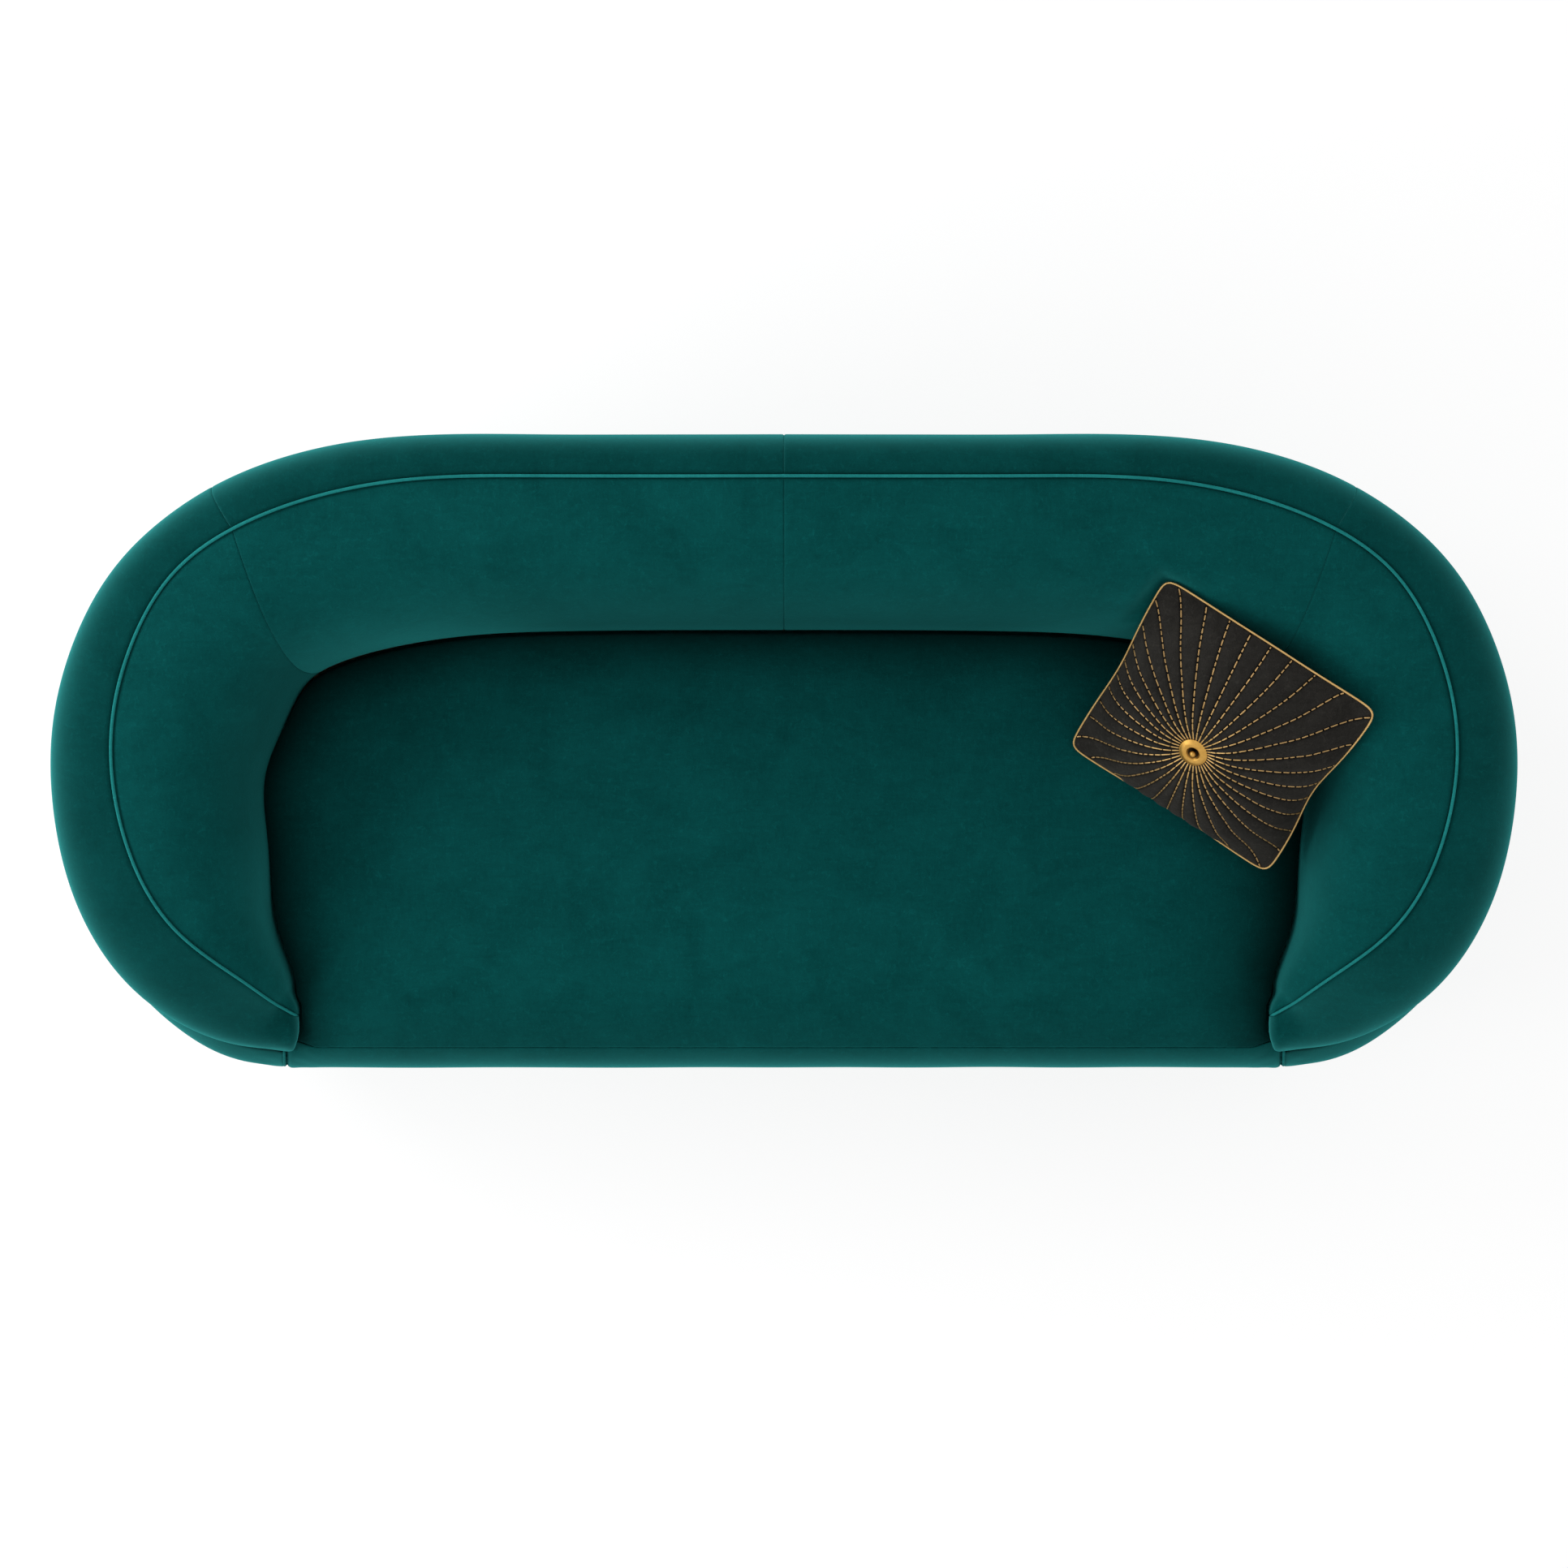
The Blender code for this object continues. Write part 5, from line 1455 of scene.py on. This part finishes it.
def front_ray(ray):
    """Along the bottom of its groove, from the disc to the piping."""
    column = front[RAY_COLUMN + ray * len(OFFSET_SHARES)]
    away = np.linalg.norm(column[:, :2] - TUFT, axis=1)
    at = np.linspace(RAY_START, away[-1] - RAY_STOP, FRONT_RAY_COUNT)
    return lifted(read_at(at, away, column), 1)


def back_ray(ray):
    """Round the rim and a little way over the back, where it curls aside and ends."""
    shares = np.linspace(*CURL_SHARES, BACK_RAY_COUNT)
    curl = ((1 - shares) / (1 - CURL_SHARES[1])) ** 3 * CURL_SWEEP_SHARE
    plan = TUFT + (rim_seen((ray + curl) * math.tau / RAYS) - TUFT) * shares[:, None]
    height = plump(plan[None], shares[None])[0]
    return lifted(np.column_stack([plan, -height])[::-1], -1)


bead_random = np.random.default_rng(BEAD_SEED)
bead = bead_shape()
beads = bmesh.new()
beads.verts.layers.float.new("shade")
bead_count = 0
for ray in range(RAYS):
    for route, facing in ((front_ray(ray), 1), (back_ray(ray), -1)):
        path = leaned(route)
        run = run_of(path)
        at = 0.0
        while at < run[-1] - SHORTEST_BEAD:
            length = BEAD_LENGTHS[bead_random.integers(len(BEAD_LENGTHS))]
            near_disc = facing > 0 and at < FULLER_RUN
            end = min(at + length * (FULLER_LENGTH if near_disc else 1), run[-1])
            ends = [Vector(read_at(spot, run, path)) for spot in (at, end)]
            # Painted shade: rays over the back, which lies in shadow, are fully browned; front rays brown
            # outwards from the tuft.
            shade = DARKEST_BEAD * (min(1, at / DARKEST_RUN) if facing > 0 else 1)
            lay_bead(beads, bead, *ends, FRONT * facing, BEAD_RADIUS, shade)
            bead_count += 1
            at = end + BEAD_GAP * (FULLER_GAP if near_disc else 1)
finished(beads, "cushion_rays", gold_cord, "loose_cushion")
print(bead_count, "beads")

# %% [markdown]
# ## The disc and its button
#
# Such fittings are turned on a lathe, so each is half a section, spun round its axis. They sit in the
# tuft, where the rays meet.

# %% The disc and the ball button
LATHE_STEPS = 64
RECESS_EDGE_SHARE = 0.8


def turned(name, profile, dark_below=None):
    """A lathe-turned fitting on the tuft, its profile in radius and height; its recess may get painted
    shade.
    """
    bm = bmesh.new()
    verts = [bm.verts.new((radius, 0, height)) for radius, height in profile]
    edges = [bm.edges.new(pair) for pair in zip(verts, verts[1:])]
    spin = {"axis": (0, 0, 1), "cent": (0, 0, 0), "angle": math.tau, "steps": LATHE_STEPS}
    bmesh.ops.spin(bm, geom=verts + edges, use_merge=True, **spin)
    bmesh.ops.remove_doubles(bm, verts=bm.verts, dist=MERGE)
    layer = bm.verts.layers.float.new("shade")
    for vertex in bm.verts:
        if dark_below:
            inwards = -math.hypot(*vertex.co[:2])
            vertex[layer] = float(smooth_step(inwards, -dark_below, -RECESS_EDGE_SHARE * dark_below))
        vertex.co = leaned(np.array(vertex.co) + (*TUFT, TUFT_FLOOR))
    piece = finished(bm, name, gold_metal, "loose_cushion", sharp=60)
    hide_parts(name)
    return piece


RECESS_SHARE = 0.44
RECESS_FLOOR, RECESS_RISE, RECESS_POWER = 0.0008, 0.0036, 5
RING_CREST = 0.0062
RING_START, RING_SHARES = 0.94, (0.92, RECESS_SHARE + 0.04)
RING_TURN = 0.72 * math.pi
DISC_EDGE = 0.0030
DISC_FOOT, FOOT_SHARE = 0.0003, 0.90
RIM_SHARE, RIM_HEIGHT, RIM_HALF = 0.95, 0.0016, 0.0013
RIM_POINTS, RING_POINTS, RECESS_POINTS, BUTTON_POINTS = 9, 14, 10, 24
BUTTON_RADIUS = 0.0050
BUTTON_FOOT = 0.0012


def disc_profile():
    """Half a section of the disc: underside, rolled rim, a domed ring and the deep recess."""
    points = [(0.0, DISC_FOOT), (FOOT_SHARE, DISC_FOOT)]
    for turn in np.linspace(-math.pi / 2, math.pi / 2, RIM_POINTS):
        share = RIM_SHARE + (1 - RIM_SHARE) * math.cos(turn)
        points.append((share, RIM_HEIGHT + RIM_HALF * math.sin(turn)))
    for share in np.linspace(*RING_SHARES, RING_POINTS):
        dome = math.sin((RING_START - share) / (RING_START - RECESS_SHARE) * RING_TURN)
        points.append((share, DISC_EDGE + (RING_CREST - DISC_EDGE) * dome))
    for share in np.linspace(1.0, 0.0, RECESS_POINTS):
        points.append((share * RECESS_SHARE, RECESS_FLOOR + RECESS_RISE * share**RECESS_POWER))
    return [(share * DISC_RADIUS, height) for share, height in points]


button = [
    (BUTTON_RADIUS * math.sin(turn), BUTTON_FOOT + BUTTON_RADIUS * (1 - math.cos(turn)))
    for turn in np.linspace(0, math.pi, BUTTON_POINTS)
]
turned("cushion_disc", disc_profile(), dark_below=DISC_RADIUS * RECESS_SHARE)
turned("cushion_button", button)

# %% [markdown]
# ## Finishes of the frame
#
# The plinth, timbers, plywood, webbing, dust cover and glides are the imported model's own pieces. They
# already have the right shape, so they only get their finish: grain for all that is wood, a weave for
# the webbing and the dust cover, and the orange peel of a moulding for the glides.

# %% Timber, plywood, jute, dust cloth and nylon
GRAIN_STRETCH = 0.12
PORE_FINENESS = 6
THREADS_IN_WAVE = 3


def wood(name, dark, light, roughness, scale):
    """Grain and pores drawn out along X."""
    look = Look(name, dark, roughness)
    stretch = (scale * GRAIN_STRETCH, scale, scale)
    grain = look.noise(look.place(scale=stretch), 3.0, detail=5.0, roughness=0.6, distortion=0.9)
    pores = look.noise(look.place(scale=[value * PORE_FINENESS for value in stretch]), 4.0, detail=2.0)
    colour = look.blend(look.ramp(grain, (0.3, 0.0), (0.7, 1.0)), dark, light)
    look.set(Base_Color=colour, Roughness=roughness + (pores - 0.5) * 0.2)
    look.bump(grain * 0.6 + pores, 0.0006, 0.35)
    return look.material


def woven(name, dark, light, roughness, pitch):
    """Two waves of threads that cross, and some fuzz."""
    look = Look(name, dark, roughness)
    coords = look.place()
    wave = {"Vector": coords, "Scale": 1 / pitch / THREADS_IN_WAVE, "Distortion": 1.2}
    wide, long = [look.node("ShaderNodeTexWave", wave, output=1, bands_direction=way) for way in "XY"]
    fuzz = look.noise(coords, 400.0)
    threads = wide * long
    colour = look.blend(threads * 0.7 + fuzz * 0.4, dark, light)
    look.set(Base_Color=colour, Roughness=roughness + (fuzz - 0.5) * 0.2)
    look.bump(threads + fuzz * 0.5, 0.0008, 0.6)
    return look.material


def moulded(name, dark, light, roughness):
    """A moulding's fine orange peel."""
    look = Look(name, dark, roughness)
    peel = look.noise(look.place(), 900.0, detail=2.0)
    look.set(Base_Color=look.blend(peel, dark, light), Roughness=roughness + (peel - 0.5) * 0.15)
    look.bump(peel, 0.0003, 0.4)
    return look.material


stained = wood("stained_plinth", (0.012, 0.008, 0.006), (0.040, 0.026, 0.018), 0.42, scale=14.0)
birch = wood("birch_plywood", (0.45, 0.31, 0.17), (0.66, 0.50, 0.31), 0.6, scale=10.0)
pine = wood("pine", (0.50, 0.34, 0.17), (0.72, 0.55, 0.32), 0.62, scale=12.0)
jute = woven("jute_webbing", (0.20, 0.14, 0.08), (0.46, 0.36, 0.23), 0.9, pitch=0.004)
dust_cloth = woven("dust_cloth", (0.010, 0.010, 0.010), (0.030, 0.030, 0.031), 0.95, pitch=0.0012)
nylon = moulded("glide_nylon", (0.018, 0.018, 0.018), (0.040, 0.040, 0.040), 0.4)

FRAME_FINISHES = {
    "plinth": stained, "glide": nylon, "dust_cover": dust_cloth, "seat_webbing": jute,
    "front_rail": pine, "back_rail": pine, "stretcher": pine, "base_board": birch, "deck_ring": birch,
    "crest_rail": birch, "outer_board": birch, "inner_board": birch, "rib": birch,
}
finished_count = 0
for name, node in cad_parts.items():
    for start, look in FRAME_FINISHES.items():
        if name.startswith(start):
            node.data.materials.clear()
            node.data.materials.append(look)
            finished_count += 1
print(finished_count, "pieces of the frame have their finish")

# %% [markdown]
# ## Studio
#
# A photograph on white needs an even, soft light. A bright sky on all sides fills the shadows, and two
# softboxes on the left, one of them behind the sofa, shade it from left to right. The floor shows as
# white to the camera and keeps the faint shadows, but the sofa sees a plain pale floor, so no extra
# light is thrown on it.

# %% Floor, sky and softboxes
FLOOR_GREY = 0.36
FLOOR_GLOW = 0.76
WHITE = (1, 1, 1, 1)


def seen_on_white(look):
    """1 for what the camera sees, straight on or through a shiny or clear surface, and 0 for the rest."""
    outputs = [f"Is {kind} Ray" for kind in ("Camera", "Glossy", "Transmission")]
    camera, glossy, through = [look.node("ShaderNodeLightPath", {}, output=name) for name in outputs]
    return camera.maths("MAXIMUM", camera, glossy.maths("MAXIMUM", glossy, through))


def floor_look():
    look = Look("studio_floor", (0.80, 0.80, 0.80), 0.9)
    lit = look.node("ShaderNodeBsdfDiffuse", {"Color": (FLOOR_GREY, FLOOR_GREY, FLOOR_GREY, 1)})
    glow = look.node("ShaderNodeEmission", {"Color": WHITE, "Strength": FLOOR_GLOW})
    shown = look.node("ShaderNodeAddShader", {0: lit, 1: glow})
    look.surface(seen_on_white(look), Wire(look, look.shader.outputs[0]), shown)
    return look.material


FLOOR_SIDE = 40
floor_bm = bmesh.new()
bmesh.ops.create_grid(floor_bm, x_segments=1, y_segments=1, size=FLOOR_SIDE / 2)
floor_mesh = bpy.data.meshes.new("studio_floor")
floor_bm.to_mesh(floor_mesh)
floor_bm.free()
floor_mesh.materials.append(floor_look())
floor = bpy.data.objects.new("studio_floor", floor_mesh)
bpy.context.scene.collection.objects.link(floor)
floor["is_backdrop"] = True

SKY_ZENITH = 0.45
SKY_HORIZON = 0.95
world = bpy.data.worlds.new("studio_sky")
bpy.context.scene.world = world
world.use_nodes = True
sky = Nodes(world.node_tree)
dim = world.node_tree.nodes["Background"]
way_up = sky.node("ShaderNodeTexCoord", {}, output="Generated")
climb = sky.node("ShaderNodeSeparateXYZ", {"Vector": way_up}, output="Z")
near_floor = sky.node("ShaderNodeMath", {0: 1.0, 1: climb}, operation="SUBTRACT", use_clamp=True)
sky.plug(dim, {"Color": WHITE, "Strength": SKY_ZENITH + near_floor * near_floor * SKY_HORIZON})
white = sky.node("ShaderNodeBackground", {"Color": WHITE, "Strength": 1.0})
sky.surface(seen_on_white(sky), Wire(sky, dim.outputs[0]), white, output="World Output")


def softbox(name, place, aim, size, power):
    lamp = bpy.data.lights.new(name, "AREA")
    lamp.shape = "RECTANGLE"
    lamp.size, lamp.size_y = size
    lamp.energy = power
    holder = bpy.data.objects.new(name, lamp)
    holder.location = place
    holder.rotation_euler = (Vector(aim) - Vector(place)).to_track_quat("-Z", "Y").to_euler()
    holder.visible_camera = False
    bpy.context.scene.collection.objects.link(holder)


AIM = (0, 0, 0.4)
softbox("key_behind", (-3.3, 2.1, 2.7), AIM, size=(2.6, 1.8), power=55)
softbox("left", (-3.8, -1.1, 2.4), AIM, size=(1.8, 1.8), power=40)
print("lights:", ", ".join(lamp.name for lamp in bpy.data.lights))

# %% Print how far the box moved
dressed_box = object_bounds()
for start, end in zip(cad_box, dressed_box):
    print("box moved by mm", [round((b - a) * 1000, 1) for a, b in zip(start, end)])
